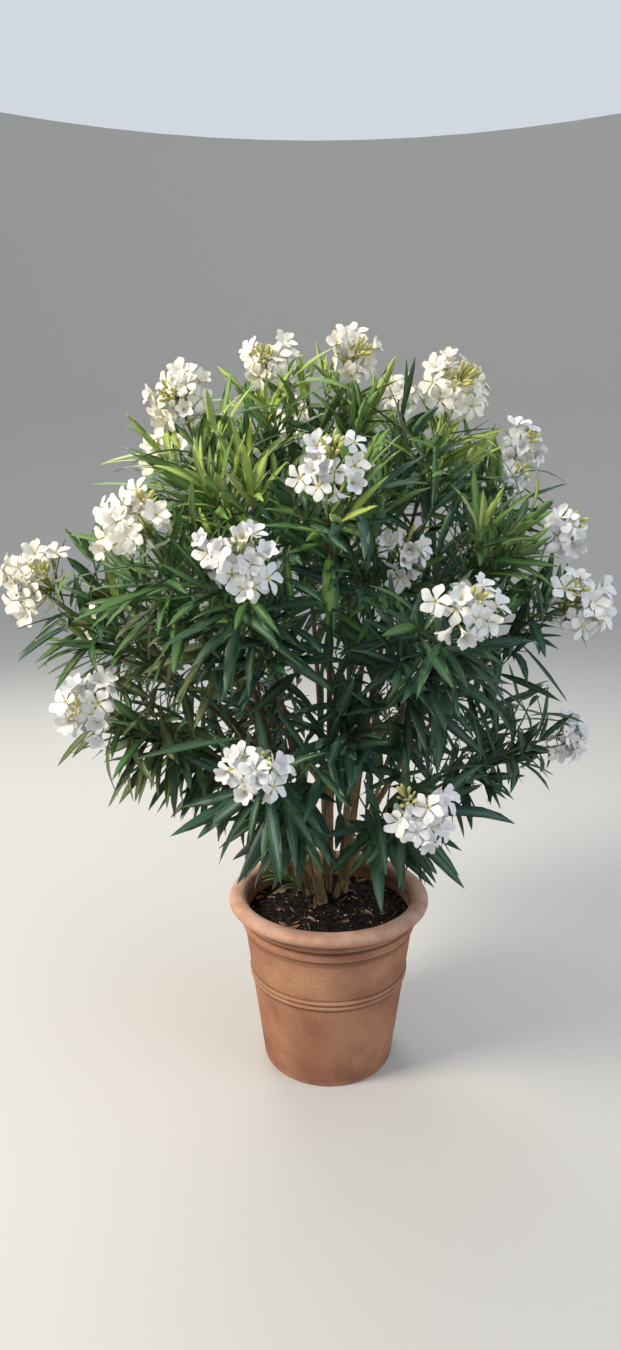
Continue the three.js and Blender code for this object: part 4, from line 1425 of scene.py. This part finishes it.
# How far a leaf's midrib rises above its face and narrows, its keel stands below, and its edges wave.
RIB_RISE = 0.25
RIB_TAPER = 0.3
KEEL_DEPTH = 0.7
EDGE_WAVE = 0.6
EDGE_WAVES = 19
# A leaf arches more and more towards its tip.
ARCH_GROWTH = 1.3
# For each kind of leaf: how far it arches, twists and sways, in degrees, and how far its sides fold up.
LEAF_FORMS = (
    (10, 6, 3, 0.22),
    (26, -10, -5, 0.16),
    (3, 12, 6, 0.28),
    (40, 8, -2, 0.12),
    (16, -16, 7, 0.2),
    (58, 12, 4, 0.14),
)
# The outline of a petal: shares of its length, and its half width there.
PETAL_OUTLINE = (
    (0, 2.2), (0.14, 3.3), (0.32, 5.4), (0.52, 8.1), (0.68, 9.9), (0.82, 9.8), (0.93, 7.4), (1, 3.4),
)
# How a petal's end slants and rounds off, and how far it sweeps aside, cups, tips and ruffles. Then how
# far out and how deep its foot is, and its columns of corners.
PETAL_SLANT = 1.3
PETAL_ROUND = 0.034
PETAL_SWEEP = 3.4
PETAL_CUP = 3
CUP_WAVES = 2.4
PETAL_TIP = 0.22
PETAL_RUFFLE = 1.1
RUFFLE_WAVES = (5, 4)
PETAL_FOOT = 3.6
PETAL_SINK = 2
PETAL_COLUMNS = (-1, -0.55, 0, 0.55, 1)
PETALS = 5
# The flower's tube, from its mouth to its foot, as radii and levels inside and outside.
TUBE_SIDES = 8
TUBE_INSIDE = ((4.8, -1), (3.2, -4.5), (0.5, -8.5))
TUBE_OUTSIDE = ((5, -1.4), (3.6, -6), (2.1, -10), (1.9, -14), (2.5, 1 - TUBE_LENGTH), (0.9, -TUBE_LENGTH))
CALYX_RINGS = 2
# For each kind of flower: how far its petals lift, in degrees, and how far they have opened.
FLOWER_FORMS = ((6, 1.0), (-8, 1.04), (24, 0.94), (44, 0.8))
# For each kind of bud: its length and its radius, and then the outline that all have and its sides.
BUD_FORMS = ((26, 4.3), (20, 3.7), (14, 2.9))
BUD_OUTLINE = ((0, 0.5), (0.12, 0.75), (0.16, 0.62), (0.4, 0.85), (0.68, 1), (0.86, 0.62), (1, 0.1))
BUD_SIDES = 7
BUD_TWIST = 1.5


def outward(mesh):
    """Turns every face of a closed mesh to point out."""
    work = bmesh.new()
    work.from_mesh(mesh)
    bmesh.ops.recalc_face_normals(work, faces=work.faces)
    work.to_mesh(mesh)
    work.free()


def variants(name, meshes):
    """A collection that holds one object for each mesh, in that order."""
    group = bpy.data.collections.new(name)
    for index, mesh in enumerate(meshes):
        group.objects.link(bpy.data.objects.new(f"{name}_{index}", mesh))
    return group


def mark(mesh, name, faces):
    """A yes-or-no value on each face, for choosing its material."""
    layer = mesh.attributes.new(name, "BOOLEAN", "FACE")
    layer.data.foreach_set("value", faces)


def leaf_mesh(index, arch, twist, sway, fold):
    """A lance-shaped leaf along Y with its upper face to +Z, closed, with a midrib."""
    points = []
    place, previous = Vector((0, 0, 0)), 0
    for share, width in LEAF_OUTLINE:
        bend = math.radians(arch) * share**ARCH_GROWTH
        aside = math.radians(sway) * share
        length = (share - previous) * LEAF_LENGTH
        place = place + Vector((math.sin(aside), math.cos(bend) * math.cos(aside), -math.sin(bend))) * length
        previous = share
        half = width * LEAF_WIDTH / 2
        rib = between(LEAF_RIB, LEAF_RIB * RIB_TAPER, share)
        turn = Matrix.Rotation(-bend, 3, "X") @ Matrix.Rotation(math.radians(twist) * share, 3, "Y")
        wave = EDGE_WAVE * math.sin(share * EDGE_WAVES + index)
        left, right = half * fold + wave, half * fold - wave
        section = ((-half, left), (-rib, RIB_RISE), (rib, RIB_RISE), (half, right), (0, -KEEL_DEPTH))
        points.extend(place + turn @ Vector((x, 0, z)) for x, z in section)
    sides = 5
    last = len(LEAF_OUTLINE) - 2
    points = points[: (last + 1) * sides] + [place]
    faces = rings_to_faces(last + 1, sides, closed=False)
    tip = len(points) - 1
    faces += [(last * sides + side, last * sides + (side + 1) % sides, tip) for side in range(sides)]
    marks = [face % sides for face in range(len(faces))]
    faces.append(tuple(range(sides)))
    shape = Shape()
    shape.add(points, faces)
    mesh = shape.mesh(f"leaf_form_{index}", [])
    outward(mesh)
    mark(mesh, "rib", [side == 1 for side in marks] + [False])
    mark(mesh, "under", [side in (3, 4) for side in marks] + [True])
    return mesh


def add_petal(points, faces, petal, index, rise, opening):
    """One petal of a flower, in rows from its foot to its tip."""
    start = len(points)
    turn = Matrix.Rotation(petal / PETALS * TURN, 3, "Z")
    for share, half in PETAL_OUTLINE:
        out = PETAL_FOOT + share * (PETAL_REACH - PETAL_FOOT) * opening
        for part in PETAL_COLUMNS:
            wave = share * RUFFLE_WAVES[0] + part * RUFFLE_WAVES[1] + petal * 1.7 + index * 2
            ruffle = PETAL_RUFFLE * math.sin(wave) * share
            x = part * half + PETAL_SWEEP * share**2
            y = out * math.cos(rise) - (part * half) ** 2 * PETAL_ROUND + part * share**3 * PETAL_SLANT
            lift = PETAL_CUP * math.sin(share * CUP_WAVES) + (out - PETAL_FOOT) * math.sin(rise)
            points.append(turn @ Vector((x, y, lift - PETAL_SINK + x * PETAL_TIP + ruffle)))
    columns = len(PETAL_COLUMNS)
    for row in range(len(PETAL_OUTLINE) - 1):
        for column in range(columns - 1):
            a = start + row * columns + column
            faces.append((a, a + 1, a + 1 + columns, a + columns))


def flower_mesh(index, lift, opening):
    """A flower that faces +Z: five petals set like a pinwheel, a cream throat and a narrow tube."""
    points, faces = [], []
    for petal in range(PETALS):
        add_petal(points, faces, petal, index, math.radians(lift), opening)
    row_faces = len(PETAL_COLUMNS) - 1
    petal_faces = len(faces) // PETALS
    throat = [face % petal_faces < row_faces for face in range(len(faces))]
    calyx = [False] * len(faces)
    for rings, within in ((TUBE_INSIDE, True), (TUBE_OUTSIDE, False)):
        begin = len(points)
        for radius, level in rings:
            points += level_ring(radius, level, TUBE_SIDES)
        for face in rings_to_faces(len(rings), TUBE_SIDES, closed=False):
            ordered = tuple(begin + corner for corner in face)
            faces.append(ordered if within else ordered[::-1])
        count = (len(rings) - 1) * TUBE_SIDES
        throat += [within] * count
        calyx += [not within and face >= count - CALYX_RINGS * TUBE_SIDES for face in range(count)]
    shape = Shape()
    shape.add(points, faces)
    mesh = shape.mesh(f"flower_form_{index}", [])
    mark(mesh, "throat", throat)
    mark(mesh, "calyx", calyx)
    return mesh


def bud_mesh(index, length, radius):
    """A pointed bud along +Z with a small green calyx at its foot."""
    points = []
    for share, part in BUD_OUTLINE:
        turns = [side / BUD_SIDES * TURN + share * BUD_TWIST for side in range(BUD_SIDES)]
        reach = radius * part
        points += [Vector((reach * math.cos(turn), reach * math.sin(turn), share * length)) for turn in turns]
    faces = rings_to_faces(len(BUD_OUTLINE), BUD_SIDES)
    shape = Shape()
    shape.add(points, faces)
    mesh = shape.mesh(f"bud_form_{index}", [])
    outward(mesh)
    mark(mesh, "calyx", [face < CALYX_RINGS * BUD_SIDES for face in range(len(faces))])
    return mesh


# Geometry nodes: one tree sets a shape at each point, and one strews shapes over a surface.

# How far what lies on the compost tilts, in radians.
LITTER_TILT = 0.45


def socket(tree, name, kind, default=None):
    """An input of a tree, which a modifier sets."""
    made = tree.interface.new_socket(name=name, in_out="INPUT", socket_type="NodeSocket" + kind)
    if default is not None:
        made.default_value = default
    return made


def tree_with_ends(name):
    """An empty tree that takes a mesh and gives one."""
    tree = bpy.data.node_groups.new(name, "GeometryNodeTree")
    tree.interface.new_socket(name="Geometry", in_out="OUTPUT", socket_type="NodeSocketGeometry")
    socket(tree, "Geometry", "Geometry")
    return tree


def finish_tree(tree, source, geometry, marks):
    """Realizes the instances and sets the materials: the first everywhere, the others where marked."""
    geometry = add(tree, "GeometryNodeRealizeInstances", {}, {"Geometry": geometry})
    inputs = {"Geometry": geometry, "Material": source.outputs["Main material"]}
    geometry = add(tree, "GeometryNodeSetMaterial", {}, inputs)
    for name in marks:
        chosen = add(tree, "GeometryNodeInputNamedAttribute", {"data_type": "BOOLEAN"}, {"Name": name})
        inputs = {"Geometry": geometry, "Selection": chosen, "Material": source.outputs[name + " material"]}
        geometry = add(tree, "GeometryNodeSetMaterial", {}, inputs)
    add(tree, "NodeGroupOutput", {}, {"Geometry": geometry})


def placing_tree(name, marks):
    """A tree that sets one of a collection's shapes at each point, turned and sized as the point says."""
    tree = tree_with_ends(name)
    socket(tree, "Shapes", "Collection")
    socket(tree, "Size", "Float", 1.0)
    for mark_name in ("Main", *marks):
        socket(tree, mark_name + " material", "Material")
    source = add(tree, "NodeGroupInput")
    inputs = {"Collection": source.outputs["Shapes"], "Separate Children": True, "Reset Children": True}
    shapes = add(tree, "GeometryNodeCollectionInfo", {}, inputs)
    kind = add(tree, "GeometryNodeInputNamedAttribute", {"data_type": "INT"}, {"Name": "kind"})
    turn = add(tree, "GeometryNodeInputNamedAttribute", {"data_type": "QUATERNION"}, {"Name": "turn"})
    size = add(tree, "GeometryNodeInputNamedAttribute", {"data_type": "FLOAT"}, {"Name": "size"})
    scaled = add(tree, "ShaderNodeMath", {"operation": "MULTIPLY"}, {0: size, 1: source.outputs["Size"]})
    inputs = {
        "Points": source.outputs["Geometry"],
        "Instance": shapes,
        "Pick Instance": True,
        "Instance Index": kind,
        "Rotation": turn,
        "Scale": scaled,
    }
    placed = add(tree, "GeometryNodeInstanceOnPoints", {}, inputs)
    finish_tree(tree, source, placed, marks)
    return tree


def strewing_tree(name):
    """A tree that strews shapes over the faces that look up, lying at random."""
    tree = tree_with_ends(name)
    socket(tree, "Shapes", "Collection")
    socket(tree, "Density", "Float", 100.0)
    socket(tree, "Least size", "Float", 0.5)
    socket(tree, "Most size", "Float", 1.5)
    socket(tree, "Sunk", "Float", 0.0)
    socket(tree, "Seed", "Int", 1)
    socket(tree, "Main material", "Material")
    source = add(tree, "NodeGroupInput")
    inputs = {"Collection": source.outputs["Shapes"], "Separate Children": True, "Reset Children": True}
    shapes = add(tree, "GeometryNodeCollectionInfo", {}, inputs)
    upward = add(tree, "GeometryNodeInputNamedAttribute", {"data_type": "BOOLEAN"}, {"Name": "top"})
    seed = source.outputs["Seed"]
    density = source.outputs["Density"]
    inputs = {"Mesh": source.outputs["Geometry"], "Selection": upward, "Density": density, "Seed": seed}
    strewn = add(tree, "GeometryNodeDistributePointsOnFaces", {}, inputs)
    inputs = {"Min": (-LITTER_TILT, -LITTER_TILT, 0), "Max": (LITTER_TILT, LITTER_TILT, TURN), "Seed": seed}
    tumble = add(tree, "FunctionNodeRandomValue", {"data_type": "FLOAT_VECTOR"}, inputs)
    inputs = {2: source.outputs["Least size"], 3: source.outputs["Most size"], "Seed": seed}
    size = add(tree, "FunctionNodeRandomValue", {"data_type": "FLOAT"}, inputs)
    inputs = {
        "Points": strewn.outputs["Points"],
        "Instance": shapes,
        "Pick Instance": True,
        "Rotation": tumble,
        "Scale": size,
    }
    placed = add(tree, "GeometryNodeInstanceOnPoints", {}, inputs)
    drop = add(tree, "ShaderNodeCombineXYZ", {}, {"Z": source.outputs["Sunk"]})
    lowered = add(tree, "GeometryNodeTranslateInstances", {}, {"Instances": placed, "Translation": drop})
    finish_tree(tree, source, lowered, ())
    return tree


def run_tree(tree, mesh, name, values):
    """The plain mesh that a tree makes of a mesh, with its inputs set by name."""
    holder = shown(mesh)
    modifier = holder.modifiers.new(tree.name, "NODES")
    modifier.node_group = tree
    keys = {item.name: item.identifier for item in tree.interface.items_tree if item.in_out == "INPUT"}
    for key, value in values.items():
        modifier[keys[key]] = value
    evaluated = holder.evaluated_get(bpy.context.evaluated_depsgraph_get())
    made = bpy.data.meshes.new_from_object(evaluated)
    made.name = name
    for extra in ("kind", "turn", "size", "rib", "under", "throat", "calyx", "top"):
        if extra in made.attributes:
            made.attributes.remove(made.attributes[extra])
    bpy.data.objects.remove(holder)
    return made


def points_mesh(name, rows):
    """A mesh of bare points with a kind, a turn and a size each."""
    mesh = bpy.data.meshes.new(name)
    mesh.from_pydata([Vector(row[1]) * METRES for row in rows], [], [])
    mesh.attributes.new("kind", "INT", "POINT").data.foreach_set("value", [row[0] for row in rows])
    mesh.attributes.new("size", "FLOAT", "POINT").data.foreach_set("value", [row[3] for row in rows])
    turns = np.array([list(row[2]) for row in rows]).ravel()
    mesh.attributes.new("turn", "QUATERNION", "POINT").data.foreach_set("value", turns)
    return mesh


# The pieces

# The most leaves that are joined in one piece.
PIECE_LEAVES = 2300


def make_leaves(foliage):
    """Joins the leaves by their tints."""
    group = variants("leaf_forms", [leaf_mesh(index, *form) for index, form in enumerate(LEAF_FORMS)])
    tree = placing_tree("set leaves", ("under", "rib"))
    for tint, (face, underside, rib) in TINTS.items():
        leaves = [leaf for leaf in foliage.leaves if leaf[1] == tint]
        for part, start in enumerate(range(0, len(leaves), PIECE_LEAVES)):
            some = leaves[start : start + PIECE_LEAVES]
            name = f"leaves_{tint}_{part + 1}"
            rows = [(kind, root, turn, size) for _, _, kind, root, turn, size in some]
            values = {"Shapes": group, "Main material": face, "under material": underside}
            values["rib material"] = rib
            mesh = run_tree(tree, points_mesh(name + "_points", rows), name, values)
            masses = sorted({leaf[0] for leaf in some if leaf[0]})
            dress(shown(mesh), ["foliage_" + mass for mass in masses])


def make_heads(foliage):
    """Joins the blossoms by their age and painted sunlight, and then the buds and the stalks of them all."""
    flowers = variants("flower_forms", [flower_mesh(index, *form) for index, form in enumerate(FLOWER_FORMS)])
    buds = variants("bud_forms", [bud_mesh(index, *form) for index, form in enumerate(BUD_FORMS)])
    nodes = sorted({"foliage_" + blossom[0] for blossom in foliage.blossoms})
    tree = placing_tree("set flowers", ("throat", "calyx"))
    for age, petal in PETALS_BY_AGE_AND_SUN.items():
        some = [blossom for blossom in foliage.blossoms if (blossom[0] in AGED_AND_SUNLIT_HEADS) == (age == "aged")]
        values = {"Shapes": flowers, "Main material": petal, "throat material": THROAT}
        values["calyx material"] = STALK
        rows = [blossom[1:] for blossom in some]
        mesh = run_tree(tree, points_mesh("blossom_points", rows), "blossoms_" + age, values)
        dress(shown(mesh), sorted({"foliage_" + blossom[0] for blossom in some}))
    tree = placing_tree("set buds", ("calyx",))
    values = {"Shapes": buds, "Main material": BUD, "calyx material": STALK}
    rows = [bud[1:] for bud in foliage.buds]
    mesh = run_tree(tree, points_mesh("bud_points", rows), "buds", values)
    dress(shown(mesh), nodes)
    dress(shown(foliage.stalks.mesh("flower_stalks", [STALK])), nodes)


def make_foliage(limbs):
    """Grows each mass and each clump of blossoms, and makes their pieces."""
    foliage = Foliage()
    clumps = Clumps()
    for index, mass in enumerate(MASSES):
        grow_mass(foliage, index, mass, limbs[mass[0]], Space(mass, limbs, clumps))
    grow_clumps(foliage, limbs, clumps)
    grow_sprout(foliage)
    nodes = ["foliage_" + mass[0] for mass in MASSES]
    dress(shown(foliage.twigs.mesh("green_twigs", [SHOOT])), nodes)
    make_leaves(foliage)
    make_heads(foliage)


def grow_sprout(foliage):
    """The young shoot at the foot of the left cane, with short narrow leaves."""
    line = Curve(*SPROUT)
    add_tube(foliage.twigs, line, *SPROUT_STEM)
    shares = even_shares(line, *SPROUT_LEAFY, SPROUT_SPACING)

    def tints(age):
        return "fresh" if age < 0.5 else "olive"

    add_whorls(foliage, None, "", line, shares, SPROUT_SEED, SPROUT_ANGLES, SPROUT_HANG, tints, SPROUT_LEAF)


def lathe(name, profile, segments, materials):
    """A closed body turned round the Z axis from a profile of radius and height, from axis to axis."""
    shape = Shape()
    inner = profile[1:-1]
    points = [(0, 0, profile[0][1])]
    for radius, level in inner:
        points += level_ring(radius, level, segments)
    points.append((0, 0, profile[-1][1]))
    between_rings = rings_to_faces(len(inner), segments, closed=False)
    faces = [tuple(1 + corner for corner in face) for face in between_rings]
    top = 1 + (len(inner) - 1) * segments
    for segment in range(segments):
        following = (segment + 1) % segments
        faces.append((0, 1 + following, 1 + segment))
        faces.append((len(points) - 1, top + segment, top + following))
    shape.add(points, faces)
    mesh = shape.mesh(name, materials)
    outward(mesh)
    return mesh


def body_radius(level):
    """The radius of the pot's plain outside at a level."""
    return FOOT_RADIUS + (SHOULDER_RADIUS - FOOT_RADIUS) * level / SHOULDER_HEIGHT


def arc(middle, radius, start, end, count):
    """Points of a round moulding, in degrees from straight out, with its own width and height."""
    turns = [math.radians(between(start, end, step / (count - 1))) for step in range(count)]
    (x, z), (wide, high) = middle, radius
    return [(x + wide * math.cos(turn), z + high * math.sin(turn)) for turn in turns]


def pot_profile():
    """From the middle of the underside, up the outside, over the lip and down the inside."""
    profile = [(0, 0), (60, 0), (FOOT_RADIUS - FOOT_CHAMFER, 0)]
    profile += [(FOOT_RADIUS - 1.2, 1.2), (FOOT_RADIUS, FOOT_CHAMFER)]
    profile += [(body_radius(level), level) for level in range(16, BEADS_FOOT - 4, 12)]
    for bead in (0, 1):
        level = BEADS_FOOT + BEAD_RISE * (bead + 0.5)
        profile.append((body_radius(level - BEAD_RISE / 2) - 0.6, level - BEAD_RISE / 2))
        profile += arc((body_radius(level) - 0.5, level), (BEAD_DEPTH, BEAD_RISE / 2 - 1), -75, 75, 9)
    level = BEADS_FOOT + BEAD_RISE * 2
    profile.append((body_radius(level) - 0.6, level))
    profile += [(body_radius(z), z) for z in range(level + 6, SHOULDER_HEIGHT - 3, 12)]
    for band in (0, 1):
        foot = SHOULDER_HEIGHT + band * BAND_RISE
        face = SHOULDER_RADIUS + BAND_STEP + band * BAND_GROOVE
        profile += [(face - BAND_STEP, foot - 1), (face - BAND_STEP - 2.5, foot + 1.5)]
        profile += arc((face - BAND_STEP, foot + BAND_RISE / 2), (BAND_STEP, BAND_RISE / 2 - 3), -86, 86, 15)
        profile.append((face - BAND_STEP - 2.5, foot + BAND_RISE - 1.5))
    middle = ((LIP_OUTER_RADIUS + LIP_INNER_RADIUS) / 2, POT_HEIGHT - LIP_HEIGHT / 2)
    half = ((LIP_OUTER_RADIUS - LIP_INNER_RADIUS) / 2, LIP_HEIGHT / 2)
    profile += arc(middle, half, -78, 180, 30)
    profile += [(THROAT_RADIUS, THROAT_HEIGHT), (body_radius(SHOULDER_HEIGHT) - WALL, TAPER_TOP)]
    profile += [(body_radius(FLOOR) - WALL, FLOOR), (0, FLOOR)]
    return profile


# How finely the pot and its drainage holes are turned, and how far the cutters of the holes reach past
# its floor.
POT_SEGMENTS = 144
PLUG_SEGMENTS = 24
PLUG_MARGIN = 10
# By how much of its width the pot is out of round, how quickly that changes round it and up it, and how
# far up its foot it starts, in metres.
UNEVEN = 0.0016
UNEVEN_ROUND = 1.4
UNEVEN_UP = 9
UNEVEN_FOOT = 0.02


def make_pot():
    """The turned pot with its drainage holes, slightly out of round."""
    pot = shown(lathe("clay_pot", pot_profile(), POT_SEGMENTS, [CLAY]))
    for drain in range(DRAINS):
        turn = drain / DRAINS * TURN
        low, high = -PLUG_MARGIN, FLOOR + PLUG_MARGIN
        outline = [(0, low), (DRAIN_RADIUS, low), (DRAIN_RADIUS, high), (0, high)]
        plug = lathe("plug", outline, PLUG_SEGMENTS, [CLAY])
        out = Vector((math.cos(turn), math.sin(turn), 0))
        plug.transform(Matrix.Translation(out * DRAIN_CIRCLE * METRES))
        cutter = shown(plug)
        cut = pot.modifiers.new("drain", "BOOLEAN")
        cut.object = cutter
        cut.solver = "EXACT"
        evaluated = pot.evaluated_get(bpy.context.evaluated_depsgraph_get())
        pot.data = bpy.data.meshes.new_from_object(evaluated)
        pot.modifiers.clear()
        bpy.data.objects.remove(cutter)
    pot.data.name = "clay_pot"
    for point in pot.data.vertices:
        x, y, z = point.co
        turn = math.atan2(y, x)
        across, along = math.cos(turn) * UNEVEN_ROUND, math.sin(turn) * UNEVEN_ROUND
        wobble = noise.noise(Vector((across, along, z * UNEVEN_UP)))
        settle = min(1, z / UNEVEN_FOOT)
        point.co = Vector((x, y, 0)) * (1 - UNEVEN * settle * (1 + wobble)) + Vector((0, 0, z))
    pot.data.update()
    dress(pot, ["pot"])


# The compost's surface: its rings and sectors, how far it lies below the solid's, and the length and
# height of its lumps and crumbs.
SURFACE_RINGS = 44
SURFACE_SECTORS = 150
SURFACE_SINK = 2.5
LUMPS = (26, 4.5)
CRUMBS = (6, 2.2)


def make_compost():
    """The compost's crumbly surface over a plain body, with bark chips, twiglets and perlite on it."""
    sectors, rings = SURFACE_SECTORS, SURFACE_RINGS
    edge = THROAT_RADIUS - GAP - 0.4
    shape = Shape()
    points = [(0, 0, SOIL_TOP)]
    for ring in range(1, rings + 1):
        radius = edge * ring / rings
        fall = max(0, (radius - SOIL_LEVEL_RADIUS) / (edge - SOIL_LEVEL_RADIUS))
        for sector in range(sectors):
            turn = sector / sectors * TURN
            x, y = radius * math.cos(turn), radius * math.sin(turn)
            lumps = noise.fractal(Vector((x / LUMPS[0], y / LUMPS[0], 3)), 0.9, 2.1, 4) * LUMPS[1]
            crumbs = noise.noise(Vector((x / CRUMBS[0], y / CRUMBS[0], 9))) * CRUMBS[1]
            points.append((x, y, SOIL_TOP - SURFACE_SINK - SOIL_EDGE_DROP * fall + lumps + crumbs))
    faces = [(0, 1 + sector, 1 + (sector + 1) % sectors) for sector in range(sectors)]
    for ring in range(rings - 1):
        for sector in range(sectors):
            a = 1 + ring * sectors + sector
            b = 1 + ring * sectors + (sector + 1) % sectors
            faces.append((a, a + sectors, b + sectors, b))
    top_faces = len(faces)
    rim = 1 + (rings - 1) * sectors
    foot = len(points)
    # The body under the surface, which the pot hides.
    hidden = [(edge - 0.5, 340), (body_radius(40) - WALL - 1, 40), (body_radius(22) - WALL - 2, FLOOR + 1)]
    for radius, level in hidden:
        points += level_ring(radius, level, sectors)
    points.append((0, 0, FLOOR + 1))
    for start, following in ((rim, foot), (foot, foot + sectors), (foot + sectors, foot + 2 * sectors)):
        for sector in range(sectors):
            b = (sector + 1) % sectors
            faces.append((start + sector, following + sector, following + b, start + b))
    last = foot + 2 * sectors
    faces += [(last + (sector + 1) % sectors, last + sector, len(points) - 1) for sector in range(sectors)]
    shape.add(points, faces)
    mesh = shape.mesh("compost_surface", [COMPOST])
    outward(mesh)
    mark(mesh, "top", [face < top_faces for face in range(len(faces))])
    strew(mesh)
    mesh.attributes.remove(mesh.attributes["top"])
    dress(shown(mesh), ["compost"])


# How uneven a pebble or flake is.
LUMP_JITTER = 0.45


def lump(name, size, seed):
    """An uneven pebble or flake of that size along X, Y and Z."""
    work = bmesh.new()
    bmesh.ops.create_icosphere(work, subdivisions=1, radius=0.5)
    for point in work.verts:
        jitter = 1 + LUMP_JITTER * noise.noise(point.co * 4 + Vector((seed, 0, 0)))
        point.co = Vector(point.co[i] * size[i] * METRES for i in range(3)) * jitter
    mesh = bpy.data.meshes.new(name)
    work.to_mesh(mesh)
    work.free()
    return mesh


# What lies on the compost: for each kind its shapes' sizes, how many lie on a square metre, the range
# of their sizes, how deep they sit in millimetres, and their material.
LITTER = {
    "bark_chips": (((30, 13, 5), (38, 9, 6), (20, 15, 5)), 210, (0.65, 1.35), 0.8, BARK_CHIP),
    "fine_bark": (((11, 6, 3), (14, 4, 3), (8, 7, 3)), 3000, (0.5, 1.25), 0, FINE_BARK),
    "twiglets": (((46, 1.8, 1.8), (30, 1.5, 1.5)), 190, (0.6, 1.4), 1.2, CUT_WOOD),
    "crumbs": (((6, 5, 4), (4, 4, 3), (8, 5, 4)), 16000, (0.6, 1.5), 0, COMPOST),
    "perlite": (((3.2, 2.8, 2.4), (2.4, 2.2, 1.8)), 1300, (0.5, 1.4), 0.8, PERLITE),
}


def strew(mesh):
    """Strews each kind of litter over the compost, as a piece of its own."""
    tree = strewing_tree("strew litter")
    for index, (name, (sizes, density, span_of_sizes, sunk, material)) in enumerate(LITTER.items()):
        shapes = [lump(f"{name}_{i}", size, index * 9 + i) for i, size in enumerate(sizes)]
        values = {
            "Shapes": variants(name + "_forms", shapes),
            "Density": float(density),
            "Least size": span_of_sizes[0],
            "Most size": span_of_sizes[1],
            "Sunk": sunk * METRES,
            "Seed": index + 3,
            "Main material": material,
        }
        dress(shown(run_tree(tree, mesh.copy(), name, values)), [])


# Camera, light and floor

# The photograph's height and focal length in pixels, how far down the camera looks, in degrees, and the
# size of its sensor.
IMAGE_HEIGHT = 1350
FOCAL_PIXELS = 800
CAMERA_PITCH = 11
SENSOR = 36

# A pale floor that sweeps up into a wall all round, far from the plant.
FLOOR_REACH = 9000
SWEEP_RADIUS = 3000
WALL_TOP = 7000
FLOOR_SEGMENTS = 96

# Each light: where it hangs and what it lights, in metres, its width, its power and its colour.
LIGHTS = [
    ("key", (-3.9, -1.7, 3.7), (0, 0, 0.95), 1.6, 300, "#fff3e2"),
    ("fill", (3.2, -1.8, 3.0), (0.2, 0, 1.2), 2.6, 60, "#e4edff"),
    ("rim", (-1.0, 3.4, 3.6), (0, 0, 1.2), 2.4, 90, "#fff8ee"),
]


def make_floor():
    """The pale floor, whose faces look up and in."""
    segments = FLOOR_SEGMENTS
    profile = [(FLOOR_REACH, 0)]
    profile += arc((FLOOR_REACH, SWEEP_RADIUS), (SWEEP_RADIUS, SWEEP_RADIUS), -82, 0, 10)
    profile.append((FLOOR_REACH + SWEEP_RADIUS, WALL_TOP))
    points = [(0, 0, 0)]
    for radius, level in profile:
        points += level_ring(radius, level, segments)
    faces = [(0, 1 + side, 1 + (side + 1) % segments) for side in range(segments)]
    for face in rings_to_faces(len(profile), segments, closed=False):
        faces.append(tuple(1 + corner for corner in reversed(face)))
    shape = Shape()
    shape.add(points, faces)
    return shown(shape.mesh("floor", [plain("pale floor", "#c3c2bf", Roughness=0.9)]))


def make_stage():
    """The floor, an even sky and three soft lamps."""
    make_floor()
    world = bpy.data.worlds.new("studio")
    world.use_nodes = True
    world.node_tree.nodes.clear()
    sky = add(world.node_tree, "ShaderNodeBackground", {}, {"Color": linear("#e8eff7"), "Strength": 0.8})
    add(world.node_tree, "ShaderNodeOutputWorld", {}, {"Surface": sky})
    bpy.context.scene.world = world
    bpy.context.scene.view_settings.view_transform = "Standard"
    for name, place, aim, size, power, colour in LIGHTS:
        light = bpy.data.lights.new(name, "AREA")
        light.size = size
        light.energy = power
        light.color = linear(colour)[:3]
        holder = bpy.data.objects.new(name, light)
        holder.location = place
        holder.rotation_euler = (Vector(aim) - Vector(place)).to_track_quat("-Z", "Y").to_euler()
        bpy.context.scene.collection.objects.link(holder)


def make_camera():
    """The camera, as it stood and looked for the photograph."""
    lens = bpy.data.cameras.new("photo view")
    lens.sensor_width = SENSOR
    lens.lens = FOCAL_PIXELS / IMAGE_HEIGHT * SENSOR
    lens.clip_start = 0.01
    lens.clip_end = 200
    camera = bpy.data.objects.new("photo view", lens)
    camera.location = [length * METRES for length in EYE]
    camera.rotation_euler = (math.radians(90 - CAMERA_PITCH), 0, 0)
    bpy.context.scene.collection.objects.link(camera)
    bpy.context.scene.camera = camera


limbs, canes = grow_limbs()
make_pot()
make_compost()
make_bark(limbs, canes)
make_foliage(limbs)
make_stage()
make_camera()
